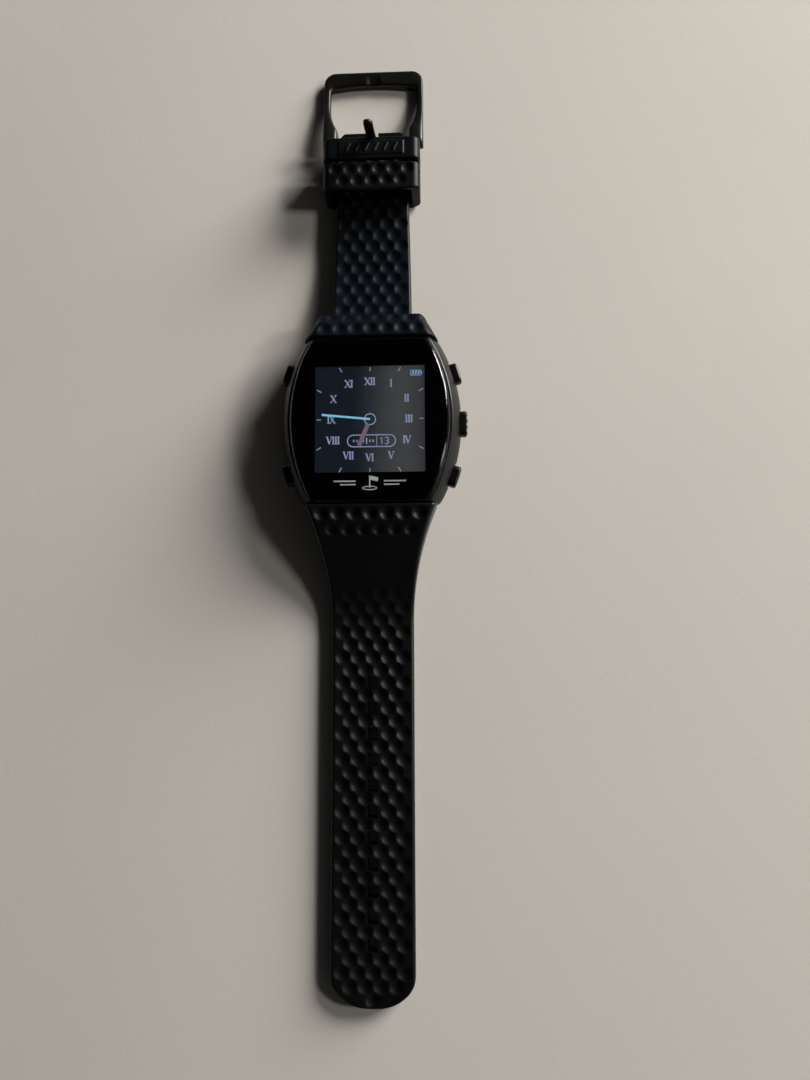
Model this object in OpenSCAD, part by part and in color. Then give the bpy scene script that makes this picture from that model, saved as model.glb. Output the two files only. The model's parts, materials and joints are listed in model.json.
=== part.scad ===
// Golf GPS watch with a dimpled rubber strap, laid out flat with its buckle undone.
// Origin: centre of the flat case back. +X to 3 o'clock, +Y to 12 o'clock, +Z out of the display.

/* [Case] */
// Width of the case over its curved sides
case_w = 44.3; // [42:0.1:46]
// Length of the case between the two strap ends
case_l = 41.2; // [40:0.1:42.4]
// Radius of the curved sides in plan
side_r = 41.3; // [39:0.1:46]
// Height at which the sides are widest
waist_z = 7.5; // [7:0.1:8.5]
// Height of the top of the side walls
case_top_z = 12.3; // [12:0.1:12.6]
// How far the side walls lean in above the waist
upper_lean = 2.05; // [1.6:0.05:2.1]
// How far the side walls lean in below the waist
lower_lean = 2.4; // [1.5:0.1:3]
// Thickness of the side walls at the waist
wall = 4.55; // [4.2:0.05:5]

/* [Glass and display] */
// Highest point of the front glass
glass_top_z = 13.5; // [13.3:0.1:14]
// Width of the front glass at its middle
glass_w = 38.9; // [37:0.1:39]
// Length of the front glass
glass_l = 40.8; // [38:0.1:40.8]
// Thickness of the front glass at its middle
glass_t = 1.9; // [1.7:0.1:2.2]
// Width of the display module
lcd_w = 28.6; // [26:0.1:28.6]
// Length of the display module
lcd_l = 29; // [27:0.1:29]

/* [Back] */
// Thickness of the rear cover
cover_t = 1.4; // [1.2:0.1:1.5]
// Thickness of the squeezed rear gasket
gasket_t = 0.4; // [0.3:0.05:0.5]
// Radius of a charging contact
contact_r = 0.75; // [0.5:0.05:1]
// Distance between charging contacts
contact_pitch = 2.54; // [2.2:0.02:3]

/* [Buttons] */
// How far a button goes in
button_travel = 0.6; // [0.3:0.05:0.7]
// How far a button stands out of the side wall
button_proud = 1.5; // [1:0.1:2]
// Height of the middle of the buttons
button_z = 7; // [6.9:0.05:7.1]
// Radius of a button's stem
stem_r = 0.8; // [0.7:0.05:0.8]

/* [Strap] */
// Width of the strap
strap_w = 20; // [18:0.5:20]
// Thickness of the strap
strap_t = 3.4; // [3.2:0.05:3.6]
// Distance from the case centre to the tip of the long strap
long_tip = 138; // [134:0.5:142]
// Distance between the tongue slots
slot_pitch = 6.05; // [5.9:0.05:6.2]
// Number of tongue slots
slot_count = 11; // [7:1:11]
// Width of a tongue slot
slot_w = 2.4; // [2.3:0.1:2.8]
// Length of a tongue slot
slot_l = 3.1; // [2.8:0.1:3.2]
// Gap between two strap sections at the line where they bend
bend_gap = 0.3; // [0.25:0.05:0.4]
// Height of the strap's underside at the buckle, where it stands on its keepers
buckle_end_z = 1.5; // [1.3:0.1:1.6]

/* [Keepers and buckle] */
// Outer width of the keepers
keeper_w = 24.8; // [24.2:0.1:25]
// Height of the keepers
keeper_h = 10.3; // [10.2:0.1:10.6]
// Outer width of the buckle frame
buckle_w = 26.5; // [26:0.1:28]
// Distance from the case centre to the outer edge of the buckle
buckle_end = 98.6; // [97:0.1:100]
// Radius of the buckle pin
pin_r = 0.75; // [0.7:0.05:0.8]
// Length of the tongue from the pin
tongue_l = 17.5; // [17.3:0.1:18]
// Angle at which the tongue leans back against the keeper
tongue_lean = 107; // [104:0.5:107]

/* [Hidden] */
$fn = 64;
fit = 0.05;                              // play between flat faces and in running fits
case_half = case_w / 2;
side_x = case_half - side_r;             // centre of the arc that makes the +X side
end_y = case_l / 2;
case_low_z = cover_t + gasket_t;
ledge_z = glass_top_z - glass_t;         // the glass lies on this ledge
seal_t = 0.4;                            // thickness of the glass's seal
glass_r = 41.6;                          // plan radius of the glass's sides
cavity_half = case_half - wall;
cavity_end = end_y - 2.8;
board_z = 5.4;
board_t = 0.8;
chassis_z = 7.9;
lcd_z = 9.6;
lug_pin_y = end_y + 2.4;
lug_pin_z = 5.2;
lug_half = 7;
lug_h = 5.2;                             // height of a lug, centred on its pin
screw_x = 10;                            // places of the rear cover's screws
screw_y = end_y - 1.3;
glass_edge = 0.9;                        // height of the glass's straight edge
glass_fold = 15.6;                       // where the glass starts to slope at its two ends
cap_h = 3.2;                             // height of a button's cap
cap_pocket = 2.3;                        // depth of the pocket behind a cap
seal_x = -3.3;                           // place of a stem's seal, measured inwards from the wall
chassis_posts = [for (x = [-11, 11], y = [-13, 11.5]) [x, y]];
shoulder_end = end_y + 7;                // outer end of the short strap's raised shoulder
shoulder_z = 12.7;
shoulder_r = 4.2;                          // corner radius of the shoulder in plan
shoulder_lean = 28.3;                    // angle by which the shoulder's sides lean in, in degrees
case_end_half = side_x + sqrt(side_r * side_r - end_y * end_y);
// Centre of the shoulder's corner: shoulder_r away from its leaning side and from its outer end
shoulder_cx = case_end_half - tan(shoulder_lean) * (shoulder_end - shoulder_r - end_y)
    - shoulder_r / cos(shoulder_lean);
short_narrow = 0.6;                      // how much each edge of the short strap draws in
strap_flare = 5.9;                       // how much wider each side of the long strap is at the case
tip_round = 7;                           // length of the rounded tip of the long strap
first_slot = 63.3;
short_bends = [30, 40, 50];              // distances of the bend lines from the case centre
long_bends = [38, 57.3, 78.4, 96.6, 114.7];
strap_end = 79.2;
pin_y = 77.4;
pin_z = buckle_end_z + strap_t / 2;
hub_r = 1.9;                             // radius of the buckle's eyes round its pin
arm_in = 11.5;                           // half width between the buckle's arms
bar_t = 2.4;                             // thickness of the buckle's crossbar
bar_in = 94.6;                           // where the crossbar's arched inner edge is furthest out
arch_r = 60;                             // radius of that arch
gusset = 2.1;                            // how far the gussets stand in from the arms
keeper_fixed_y = [68.5, 74.5];
keeper_slide_y = [60.6, 67.7];
steps = 12;                              // stretches that a strap section's faces are drawn in
// Each button: side (+1 is 3 o'clock), distance along Y on the wall, length of its cap
BUTTONS = [[1, 12.2, 5.4], [1, -0.4, 6.4], [1, -13.4, 5.4], [-1, 12.6, 5.4], [-1, -12.6, 5.4]];

function clamp01(v) = max(0, min(1, v));
function fall(v) = 0.5 + 0.5 * cos(180 * clamp01(v));   // 1 to 0 along half a cosine wave

// Heights of the straps' faces at the distance d from the case centre
function short_bot(d) = buckle_end_z + 3 * pow(1 - clamp01((d - 27) / 21), 2);
function short_top(d) = short_bot(d) + strap_t;
function short_half(d) = strap_w / 2 - short_narrow * clamp01((d - 30) / 28);
function shoulder_top(d) = shoulder_z - 2.6 * pow((d - end_y) / 7, 2);
function long_bot(d) = 3 * fall((d - 24) / 24);
function long_top(d) = strap_t + 9.3 * fall((d - 17) / 33);
// Half width of the long strap: it flares towards the case and its tip is half an ellipse
function long_half(d) = d < long_tip - tip_round
    ? strap_w / 2 + strap_flare * pow(1 - clamp01((d - end_y) / 28), 2)
    : strap_w / 2 * sqrt(max(0, 1 - pow((d - long_tip + tip_round) / tip_round, 2)));

// Extrudes a side view, drawn as [Y, Z], over the width w
module across(w) rotate([90, 0, 90]) linear_extrude(w, center = true) children();

// Rectangle with round corners made of true arcs
module round_rect(w, h, r) {
    square([w - 2 * r, h], center = true);
    square([w, h - 2 * r], center = true);
    for (x = [-1, 1], y = [-1, 1])
        translate([x * (w / 2 - r), y * (h / 2 - r)]) circle(r);
}

// Plan view between two arcs that bulge out to +X and -X
module tonneau(half, r, end) {
    intersection() {
        translate([half - r, 0]) circle(r, $fn = 160);
        translate([r - half, 0]) circle(r, $fn = 160);
        square([2 * half, 2 * end], center = true);
    }
}

// Solid between two cones, so that its curved sides lean in by lean towards the top
module leaning_tonneau(half, r, end, h, lean) {
    intersection() {
        side_cone(1, half, r, h, lean);
        side_cone(-1, half, r, h, lean);
        translate([-half, -end, 0]) cube([2 * half, 2 * end, h]);
    }
}

// Cone whose surface is one curved side
module side_cone(side, half, r, h, lean)
    translate([side * (half - r), 0, 0]) cylinder(h, r, r - lean, $fn = 160);

// Puts children on the side wall at a button: their +X points out along the wall's normal
module at_button(b) {
    turn = asin(b[1] / side_r);
    mirror([b[0] > 0 ? 0 : 1, 0, 0])
        translate([side_x, 0, button_z]) rotate([0, 0, turn]) translate([side_r, 0, 0]) children();
}

module rod_x(r, x0, x1) translate([x0, 0, 0]) rotate([0, 90, 0]) cylinder(x1 - x0, r, r);

module button_holes() {
    for (b = BUTTONS) at_button(b) {
        rod_x(stem_r + 0.06, -8, 1);
        rod_x(1.45, seal_x - 0.35, seal_x + 0.35);
        translate([-cap_pocket, -b[2] / 2 - 0.15, -cap_h / 2 - 0.15])
            cube([8, b[2] + 0.3, cap_h + 0.3]);
    }
}

module lug(side) {
    difference() {
        translate([-lug_half, side > 0 ? end_y - 1 : -end_y - 5, lug_pin_z - lug_h / 2])
            cube([2 * lug_half, 6, lug_h]);
        translate([0, side * lug_pin_y, lug_pin_z]) rod_x(pin_r + 0.03, -8, 8);
    }
}

module at_rear_screws()
    for (x = [-screw_x, screw_x], y = [-screw_y, screw_y]) translate([x, y, 0]) children();

module case_body() color("dimgray") difference() {
    union() {
        translate([0, 0, waist_z])
            leaning_tonneau(case_half, side_r, end_y, case_top_z - waist_z, upper_lean);
        translate([0, 0, waist_z]) mirror([0, 0, 1])
            leaning_tonneau(case_half, side_r, end_y, waist_z - case_low_z, lower_lean);
        for (side = [-1, 1]) lug(side);
    }
    translate([0, 0, case_low_z - 1]) linear_extrude(10.4)
        tonneau(cavity_half, side_r - wall, cavity_end);
    // window through the ledge, seal groove and glass seat
    translate([0, 0, 9]) linear_extrude(6) ledge_window();
    translate([0, 0, ledge_z - seal_t]) linear_extrude(6)
        tonneau(glass_w / 2 - 0.8, glass_r - 0.8, glass_l / 2 - 0.8);
    translate([0, 0, ledge_z]) linear_extrude(6) tonneau(glass_w / 2 + fit, glass_r + fit, 30);
    button_holes();
    at_rear_screws() cylinder(5, 0.5, 0.5);
}

module ledge_window() square([lcd_w + 0.4, lcd_l + 5], center = true);

// Flat in the middle, with slopes at the 12 and 6 o'clock ends and leaning sides
module front_glass() color([0.02, 0.02, 0.02]) intersection() {
    union() {
        translate([0, 0, ledge_z]) linear_extrude(glass_edge) tonneau(glass_w / 2, glass_r, glass_l / 2);
        translate([0, 0, ledge_z + glass_edge])
            leaning_tonneau(glass_w / 2, glass_r, glass_l / 2, glass_t - glass_edge, 1.2);
    }
    across(50) polygon([[-glass_l / 2, 11], [-glass_l / 2, 12.7], [-glass_fold, glass_top_z],
        [glass_fold, glass_top_z], [glass_l / 2, 12.7], [glass_l / 2, 11]]);
}

module glass_seal() color([0.1, 0.1, 0.1]) translate([0, 0, ledge_z - seal_t]) linear_extrude(seal_t)
    difference() {
        tonneau(glass_w / 2 - 0.9, glass_r - 0.9, glass_l / 2 - 0.9);
        ledge_window();
    }

module lcd_panel() color([0.2, 0.22, 0.25]) translate([-lcd_w / 2, -lcd_l / 2 - 0.4, lcd_z])
    cube([lcd_w, lcd_l, ledge_z - lcd_z - 0.5]);

module lcd_backlight() color("white") translate([-lcd_w / 2, -lcd_l / 2 - 0.4, lcd_z - 0.9])
    cube([lcd_w, lcd_l, 0.85]);

module display_flex() color("orange") across(12) polygon([[-15, 10.4], [-15, 10.6], [-16.6, 10.6],
    [-16.6, board_z + board_t], [-13.5, board_z + board_t], [-13.5, 6.4], [-16.4, 6.4], [-16.4, 10.4]]);

module inner_chassis() color([0.15, 0.15, 0.16]) difference() {
    union() {
        translate([0, 0, chassis_z]) linear_extrude(0.7) difference() {
            tonneau(cavity_half - 0.2, side_r - wall - 0.2, cavity_end - 0.2);
            translate([-8, 14.5]) square([16, 5]);
            translate([-7, -20]) square([14, 4]);
        }
        for (p = chassis_posts) translate([p[0], p[1], board_z + board_t])
            cylinder(chassis_z - board_z - board_t, 1.4, 1.4);
    }
    for (p = chassis_posts) translate([p[0], p[1], board_z]) cylinder(2.9, 0.5, 0.5);
}

module main_board() color("darkgreen") translate([0, 0, board_z]) linear_extrude(board_t) difference() {
    tonneau(cavity_half - 0.8, side_r - wall - 0.8, cavity_end - 0.4);
    for (p = chassis_posts) translate(p) circle(0.6);
}

module board_screws() color("silver") for (p = chassis_posts) translate([p[0], p[1], board_z - 0.6]) {
    cylinder(0.6, 1, 1);
    cylinder(3.2, 0.48, 0.48);
}

module shield_can() color("lightgray") translate([-2, 2, board_z + board_t]) difference() {
    translate([-7, -6, 0]) cube([14, 12, 1.3]);
    translate([-6.8, -5.8, -1]) cube([13.6, 11.6, 2.1]);
}

module gps_antenna() color("tan") translate([-6.5, 14.7, board_z + board_t]) cube([13, 2.6, 3.9]);

module battery() color("silver") translate([-11, -9.4, 2.25]) {
    translate([1.5, 0, 0]) cube([19, 19.5, 2.5]);
    for (x = [1.5, 20.5]) translate([x, 0, 1.25]) rotate([-90, 0, 0]) cylinder(19.5, 1.25, 1.25);
}

module battery_pad() color("gray") translate([-8, -8, cover_t]) cube([16, 17, 0.8]);

module vibration_motor() color("silver") translate([-6.2, -13.4, board_z - 2.8]) cylinder(2.7, 3.5, 3.5);

module buzzer() color([0.1, 0.1, 0.1]) translate([3.2, -16.6, board_z - 2.2]) difference() {
    cube([6.4, 6.4, 2.1]);
    translate([3.2, 3.2, -1]) cylinder(2, 0.6, 0.6);
}

module tact_switches() color("silver") for (b = BUTTONS) at_button(b)
    translate([-wall - 2.75, -1.5, board_z + board_t - button_z]) cube([1.3, 3, 1.6]);

module at_contacts() for (i = [0:3]) translate([(i - 1.5) * contact_pitch, -13.4, 0]) children();

module charging_contacts() color("gold") at_contacts() {
    cylinder(cover_t + 1, contact_r, contact_r);
    translate([0, 0, cover_t]) cylinder(0.4, 1.05, 1.05);
}

module rear_cover() color([0.12, 0.12, 0.13]) difference() {
    translate([0, 0, cover_t]) mirror([0, 0, 1])
        leaning_tonneau(case_half - lower_lean - 0.2, side_r - lower_lean, end_y - 0.2, cover_t, 1.1);
    at_contacts() translate([0, 0, -1]) cylinder(4, contact_r + 0.03, contact_r + 0.03);
    at_rear_screws() {
        translate([0, 0, -1]) cylinder(4, 0.6, 0.6);
        translate([0, 0, -1]) cylinder(1.75, 1.2, 1.2);
    }
}

module rear_gasket() color([0.05, 0.05, 0.05]) translate([0, 0, cover_t]) linear_extrude(gasket_t)
    difference() {
        tonneau(cavity_half + 0.8, side_r - wall + 0.8, cavity_end + 0.8);
        tonneau(cavity_half + 0.2, side_r - wall + 0.2, cavity_end + 0.2);
    }

module rear_screws() color("silver") at_rear_screws() difference() {
    union() {
        translate([0, 0, 0.1]) cylinder(0.6, 1.1, 1.1);
        translate([0, 0, 0.1]) cylinder(4.5, 0.48, 0.48);
    }
    for (a = [0, 90]) rotate([0, 0, a]) translate([-0.7, -0.1, 0]) cube([1.4, 0.2, 0.35]);
}

module lug_pin(side) color("silver") translate([0, side * lug_pin_y, lug_pin_z]) {
    rod_x(pin_r, -10, 10);
    rod_x(0.5, -11.4, 11.4);
}

module button_seals() color([0.05, 0.05, 0.05]) for (b = BUTTONS) at_button(b)
    translate([seal_x, 0, 0]) rotate([0, 90, 0])
        rotate_extrude($fn = 24) translate([1.13, 0]) circle(0.3, $fn = 16);

module button(b) color([0.08, 0.08, 0.08]) at_button(b) {
    rod_x(stem_r, -wall - 0.7, 0);
    translate([button_travel + 0.2 - cap_pocket, 0, 0]) rotate([0, 90, 0])
        linear_extrude(cap_pocket - button_travel - 0.2 + button_proud) round_rect(cap_h, b[2], 1.1);
}

// Radius of the round end of a strap section at the bend line d
function bend_r(top, bot) = 0.49 * (top - bot);

// Strap of the width w between the distances a and b, with a round end at b and a hollow end at a.
// The flat faces stop just short of b, inside the round end.
module strap_solid(w, a, b, tops, bots, hollow_r, round_r) {
    last = len(tops) - 1;
    length = b - a - (round_r > 0 ? 0.25 : 0);
    points = [for (i = [0:last]) a + length * i / last];
    difference() {
        union() {
            across(w) polygon(concat([for (i = [0:last]) [points[i], tops[i]]],
                [for (i = [last:-1:0]) [points[i], bots[i]]]));
            if (round_r > 0) translate([0, b, (tops[last] + bots[last]) / 2]) rod_x(round_r, -w / 2, w / 2);
        }
        if (hollow_r > 0) translate([0, a, (tops[0] + bots[0]) / 2]) rod_x(hollow_r, -w, w);
    }
}

// Distances of the points at which a section's faces are worked out
function stations(a, b) = [for (i = [0:steps]) a + (b - a) * i / steps];

module short_section(a, b, hollow = true, rounded = true) {
    d = stations(a, b);
    intersection() {
        strap_solid(strap_w, a, b, [for (x = d) short_top(x)], [for (x = d) short_bot(x)],
            hollow ? bend_r(strap_t, 0) + bend_gap : 0, rounded ? bend_r(strap_t, 0) : 0);
        translate([0, 0, -1]) linear_extrude(20)
            polygon(both_sides([for (y = [20, 30, 58, 90]) [short_half(y), y]]));
    }
}

// Closed outline from the points of its +X side, in order along Y
function both_sides(points) =
    concat(points, [for (i = [len(points) - 1:-1:0]) [-points[i][0], points[i][1]]]);

// Plan view of the shoulder: its sides lean in from the case's ends to round corners
module shoulder_plan() polygon(both_sides(concat([[case_end_half, end_y]],
    [for (i = [0:10]) let (a = shoulder_lean + (90 - shoulder_lean) * i / 10)
        [shoulder_cx + shoulder_r * cos(a), shoulder_end - shoulder_r + shoulder_r * sin(a)]])));

module lug_pocket() {
    translate([-lug_half - 0.1, end_y - 1, -1]) cube([2 * lug_half + 0.2, 6.2, 9.1]);
    translate([0, lug_pin_y, lug_pin_z]) {
        rod_x(pin_r + 0.03, -10.1, 10.1);
        rod_x(0.53, -11.5, 11.5);
    }
}

module strap_short_lug_end() color([0.07, 0.09, 0.13]) difference() {
    union() {
        intersection() {
            across(50) polygon(concat([[end_y + fit, 3]],
                [for (d = [end_y + fit:0.5:shoulder_end]) [d, shoulder_top(d)]],
                [[shoulder_end, shoulder_top(shoulder_end)], [shoulder_end, short_bot(shoulder_end)],
                [26, 3]]));
            linear_extrude(20) shoulder_plan();
        }
        short_section(shoulder_end - 0.5, short_bends[0], false, true);
    }
    lug_pocket();
}

module strap_short_first() color([0.07, 0.09, 0.13]) short_section(short_bends[0], short_bends[1]);

module strap_short_second() color([0.06, 0.07, 0.1]) short_section(short_bends[1], short_bends[2]);

module strap_short_buckle_end() color([0.06, 0.07, 0.1]) difference() {
    intersection() {
        short_section(short_bends[2], strap_end, true, false);
        translate([0, 0, -1]) linear_extrude(12) polygon([[-10, 45], [10, 45], [10, 77], [8.2, strap_end],
            [-8.2, strap_end], [-10, 77]]);
    }
    translate([-1.5, 75.2, -1]) cube([3, 6, 12]);
    translate([0, pin_y, pin_z]) rod_x(pin_r + 0.06, -12, 12);
}

// Loop around both straps, from y0 to y1, with play around the lower strap
module keeper(span, play) {
    translate([0, span[1], 0]) rotate([90, 0, 0]) linear_extrude(span[1] - span[0]) difference() {
        translate([0, keeper_h / 2]) round_rect(keeper_w, keeper_h, 1.6);
        translate([-strap_w / 2 - play, buckle_end_z - play]) square([strap_w + 2 * play, 7.7 + play]);
    }
}

module keeper_fixed() color([0.06, 0.07, 0.1]) {
    keeper(keeper_fixed_y, 0.02);
    translate([-8, 69.5, keeper_h - 0.5]) cube([16, 4, 0.7]);
}

module keeper_sliding() color([0.06, 0.07, 0.1]) keeper(keeper_slide_y, 0.25);

module buckle_plan() difference() {
    translate([0, (buckle_end + 70) / 2]) round_rect(buckle_w, buckle_end - 70, 3);
    difference() {
        union() {
            translate([-arm_in, 60]) square([2 * arm_in, bar_in - 61]);
            // the crossbar's inner edge is arched
            intersection() {
                translate([0, bar_in - arch_r]) circle(arch_r, $fn = 160);
                translate([-arm_in, 80]) square([2 * arm_in, 20]);
            }
        }
        // gussets inside the arms, beside the strap end
        for (side = [-1, 1]) polygon(concat([[side * 12, 88.5], [side * 12, 79.7]],
            [for (t = [0:0.125:1]) [side * (arm_in - gusset * pow(1 - t, 2)), 80.5 + 8 * t]]));
    }
}

module buckle_frame() color([0.2, 0.2, 0.2]) difference() {
    intersection() {
        translate([0, 0, -1]) linear_extrude(10) buckle_plan();
        across(40) union() {
            translate([pin_y, pin_z]) circle(hub_r);
            polygon([[pin_y, pin_z - hub_r], [84, 0.6], [92, 0], [buckle_end, 0], [buckle_end, bar_t - 0.6],
                [buckle_end - 0.8, bar_t], [92, bar_t], [84, bar_t + 1], [pin_y, pin_z + hub_r]]);
        }
    }
    translate([0, pin_y, pin_z]) rod_x(pin_r + 0.01, -20, 20);
    // rest for the tip of the tongue
    translate([-1.6, 90, bar_t - 0.5]) cube([3.2, 6.6, 3]);
}

module buckle_pin() color("silver") translate([0, pin_y, pin_z]) rod_x(pin_r, -buckle_w / 2, buckle_w / 2);

module buckle_tongue() color([0.2, 0.2, 0.2]) translate([0, pin_y, pin_z]) rotate([tongue_lean, 0, 0])
    difference() {
        across(2.3) union() {
            circle(1.55);
            polygon([[0, -0.65], [tongue_l - 1.5, -0.65], [tongue_l, -0.2], [tongue_l, 0.3],
                [tongue_l - 1.5, 0.65], [0, 0.65]]);
        }
        rod_x(pin_r + 0.06, -5, 5);
    }

// The long strap is drawn along +Y and turned over to -Y
module long_section(a, b, hollow = true, rounded = true) color([0.06, 0.06, 0.07]) mirror([0, 1, 0]) {
    d = stations(a, b);
    difference() {
        intersection() {
            strap_solid(50, a, b, [for (x = d) long_top(x)], [for (x = d) long_bot(x)],
                hollow ? bend_r(long_top(a), long_bot(a)) + bend_gap : 0,
                rounded ? bend_r(long_top(b), long_bot(b)) : 0);
            long_plan(a, b + (rounded ? 3 : 0));
        }
        for (i = [0:slot_count - 1]) {
            y = first_slot + i * slot_pitch;
            if (y > a && y < b) translate([-slot_w / 2, y - slot_l / 2, -5]) cube([slot_w, slot_l, 20]);
        }
    }
}

// Plan of the long strap as a prism: a point per station, closer together towards the tip
module long_plan(a, b) {
    d = [for (i = [0:24]) b - (b - a) * pow(i / 24, 2)];
    translate([0, 0, -5]) linear_extrude(30) polygon(concat(
        [for (x = d) [long_half(x), x]], [for (i = [24:-1:0]) [-long_half(d[i]), d[i]]]));
}

module strap_long_lug_end() difference() {
    long_section(end_y + fit, long_bends[0], false, true);
    mirror([0, 1, 0]) lug_pocket();
}

module strap_long_first() long_section(long_bends[0], long_bends[1]);

module strap_long_second() long_section(long_bends[1], long_bends[2]);

module strap_long_third() long_section(long_bends[2], long_bends[3]);

module strap_long_fourth() long_section(long_bends[3], long_bends[4]);

module strap_long_tip() long_section(long_bends[4], long_tip, true, false);

case_body();
front_glass();
glass_seal();
lcd_panel();
lcd_backlight();
display_flex();
inner_chassis();
main_board();
board_screws();
shield_can();
gps_antenna();
battery();
battery_pad();
vibration_motor();
buzzer();
tact_switches();
charging_contacts();
rear_cover();
rear_gasket();
rear_screws();
lug_pin(1);  // lug_pin_upper
lug_pin(-1);  // lug_pin_lower
button_seals();
button(BUTTONS[0]);  // button_right_upper
button(BUTTONS[1]);  // button_right_middle
button(BUTTONS[2]);  // button_right_lower
button(BUTTONS[3]);  // button_left_upper
button(BUTTONS[4]);  // button_left_lower
strap_short_lug_end();
strap_short_first();
strap_short_second();
strap_short_buckle_end();
keeper_fixed();
keeper_sliding();
buckle_frame();
buckle_pin();
buckle_tongue();
strap_long_lug_end();
strap_long_first();
strap_long_second();
strap_long_third();
strap_long_fourth();
strap_long_tip();
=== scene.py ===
"""Golf GPS watch with a dimpled rubber strap, laid out open on a pale table.

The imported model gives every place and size. Shapes here are worked out in millimetres and put into
meshes in metres. Axes: +X to 3 o'clock, +Y to 12 o'clock, +Z out of the display.
"""
import json
import logging
import math
from collections.abc import Callable, Sequence
from dataclasses import dataclass, field
from enum import Enum

import bmesh
import bpy
import numpy as np
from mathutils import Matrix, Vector


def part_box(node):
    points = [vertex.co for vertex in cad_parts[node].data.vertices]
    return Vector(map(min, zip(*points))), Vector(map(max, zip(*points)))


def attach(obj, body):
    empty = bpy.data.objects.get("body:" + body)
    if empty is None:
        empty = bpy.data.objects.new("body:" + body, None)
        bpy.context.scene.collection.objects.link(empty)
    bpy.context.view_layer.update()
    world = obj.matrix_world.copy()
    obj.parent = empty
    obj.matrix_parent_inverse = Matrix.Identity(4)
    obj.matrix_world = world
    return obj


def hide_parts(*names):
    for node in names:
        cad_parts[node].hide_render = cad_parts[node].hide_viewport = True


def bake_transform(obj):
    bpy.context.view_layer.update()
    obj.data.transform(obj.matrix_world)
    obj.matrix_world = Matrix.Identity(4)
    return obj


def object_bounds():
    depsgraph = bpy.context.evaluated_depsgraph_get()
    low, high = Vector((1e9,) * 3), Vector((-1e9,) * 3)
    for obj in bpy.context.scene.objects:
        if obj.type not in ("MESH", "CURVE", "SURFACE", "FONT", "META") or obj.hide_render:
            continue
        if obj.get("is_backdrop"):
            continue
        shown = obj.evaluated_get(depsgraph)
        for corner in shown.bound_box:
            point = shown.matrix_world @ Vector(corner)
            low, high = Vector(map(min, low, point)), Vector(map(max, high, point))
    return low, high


MM = 0.001
CREASE = math.radians(38)
RUBBER_CREASE = math.radians(50)
LOG = logging.getLogger("watch")

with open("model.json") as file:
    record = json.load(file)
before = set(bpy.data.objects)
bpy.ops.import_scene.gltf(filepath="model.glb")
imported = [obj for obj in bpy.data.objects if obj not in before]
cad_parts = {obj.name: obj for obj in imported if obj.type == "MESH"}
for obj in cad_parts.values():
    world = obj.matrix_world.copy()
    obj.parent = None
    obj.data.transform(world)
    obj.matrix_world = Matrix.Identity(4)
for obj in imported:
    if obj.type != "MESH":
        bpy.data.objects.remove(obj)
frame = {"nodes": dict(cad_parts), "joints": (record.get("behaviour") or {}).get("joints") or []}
CAD_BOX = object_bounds()


# ---------------------------------------------------------------- shapes

@dataclass
class Surface:
    """Points in millimetres and the faces that join them."""

    points: np.ndarray
    faces: list[list[int]] = field(default_factory=list)

    def __add__(self, other: "Surface") -> "Surface":
        """Both surfaces as one."""
        shift = len(self.points)
        moved = [[i + shift for i in face] for face in other.faces]
        return Surface(np.vstack([self.points, other.points]), self.faces + moved)

    def moved(self, change: Callable[[np.ndarray], np.ndarray]) -> "Surface":
        """The same faces on changed points."""
        return Surface(change(self.points), self.faces)


def smooth_step(t: np.ndarray) -> np.ndarray:
    """3t^2 - 2t^3 with t held between 0 and 1."""
    t = np.clip(t, 0.0, 1.0)
    return t * t * (3.0 - 2.0 * t)


def fall(t: np.ndarray) -> np.ndarray:
    """Half a cosine wave from 1 at t = 0 down to 0 at t = 1."""
    return 0.5 + 0.5 * np.cos(math.pi * np.clip(t, 0.0, 1.0))


def rounding(t: np.ndarray) -> np.ndarray:
    """A quarter circle's drop: 1 - sqrt(1 - t^2), with t held between 0 and 1."""
    return 1 - np.sqrt(np.maximum(0, 1 - np.clip(t, 0, 1) ** 2))


def circle(around: int) -> np.ndarray:
    """Points of a circle of radius 1 as rows."""
    turn = 2 * math.pi * np.arange(around) / around
    return np.stack([np.cos(turn), np.sin(turn)], -1)


def loft(rings: np.ndarray, wrap: bool = False) -> Surface:
    """Joins closed rings of points, each to the next.

    Args:
        rings: array of rings, points and coordinates.
        wrap: also joins the last ring to the first; otherwise both ends close to a pole at their middle.

    Returns:
        A closed surface.
    """
    count, around = rings.shape[:2]
    i = np.arange(count if wrap else count - 1)[:, None]
    j = np.arange(around)[None, :]
    k, m = (i + 1) % count, (j + 1) % around
    quads = np.stack([i * around + j, i * around + m, k * around + m, k * around + j], -1).reshape(-1, 4)
    points, faces = rings.reshape(-1, 3), quads.tolist()
    if not wrap:
        points = np.vstack([points, rings[0].mean(0), rings[-1].mean(0)])
        first, last = count * around, count * around + 1
        ring = np.arange(around)
        after = (ring + 1) % around
        start = np.stack([after, ring, np.full(around, first)], -1)
        end = (count - 1) * around
        faces += start.tolist() + np.stack([end + ring, end + after, np.full(around, last)], -1).tolist()
    return Surface(points, faces)


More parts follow.
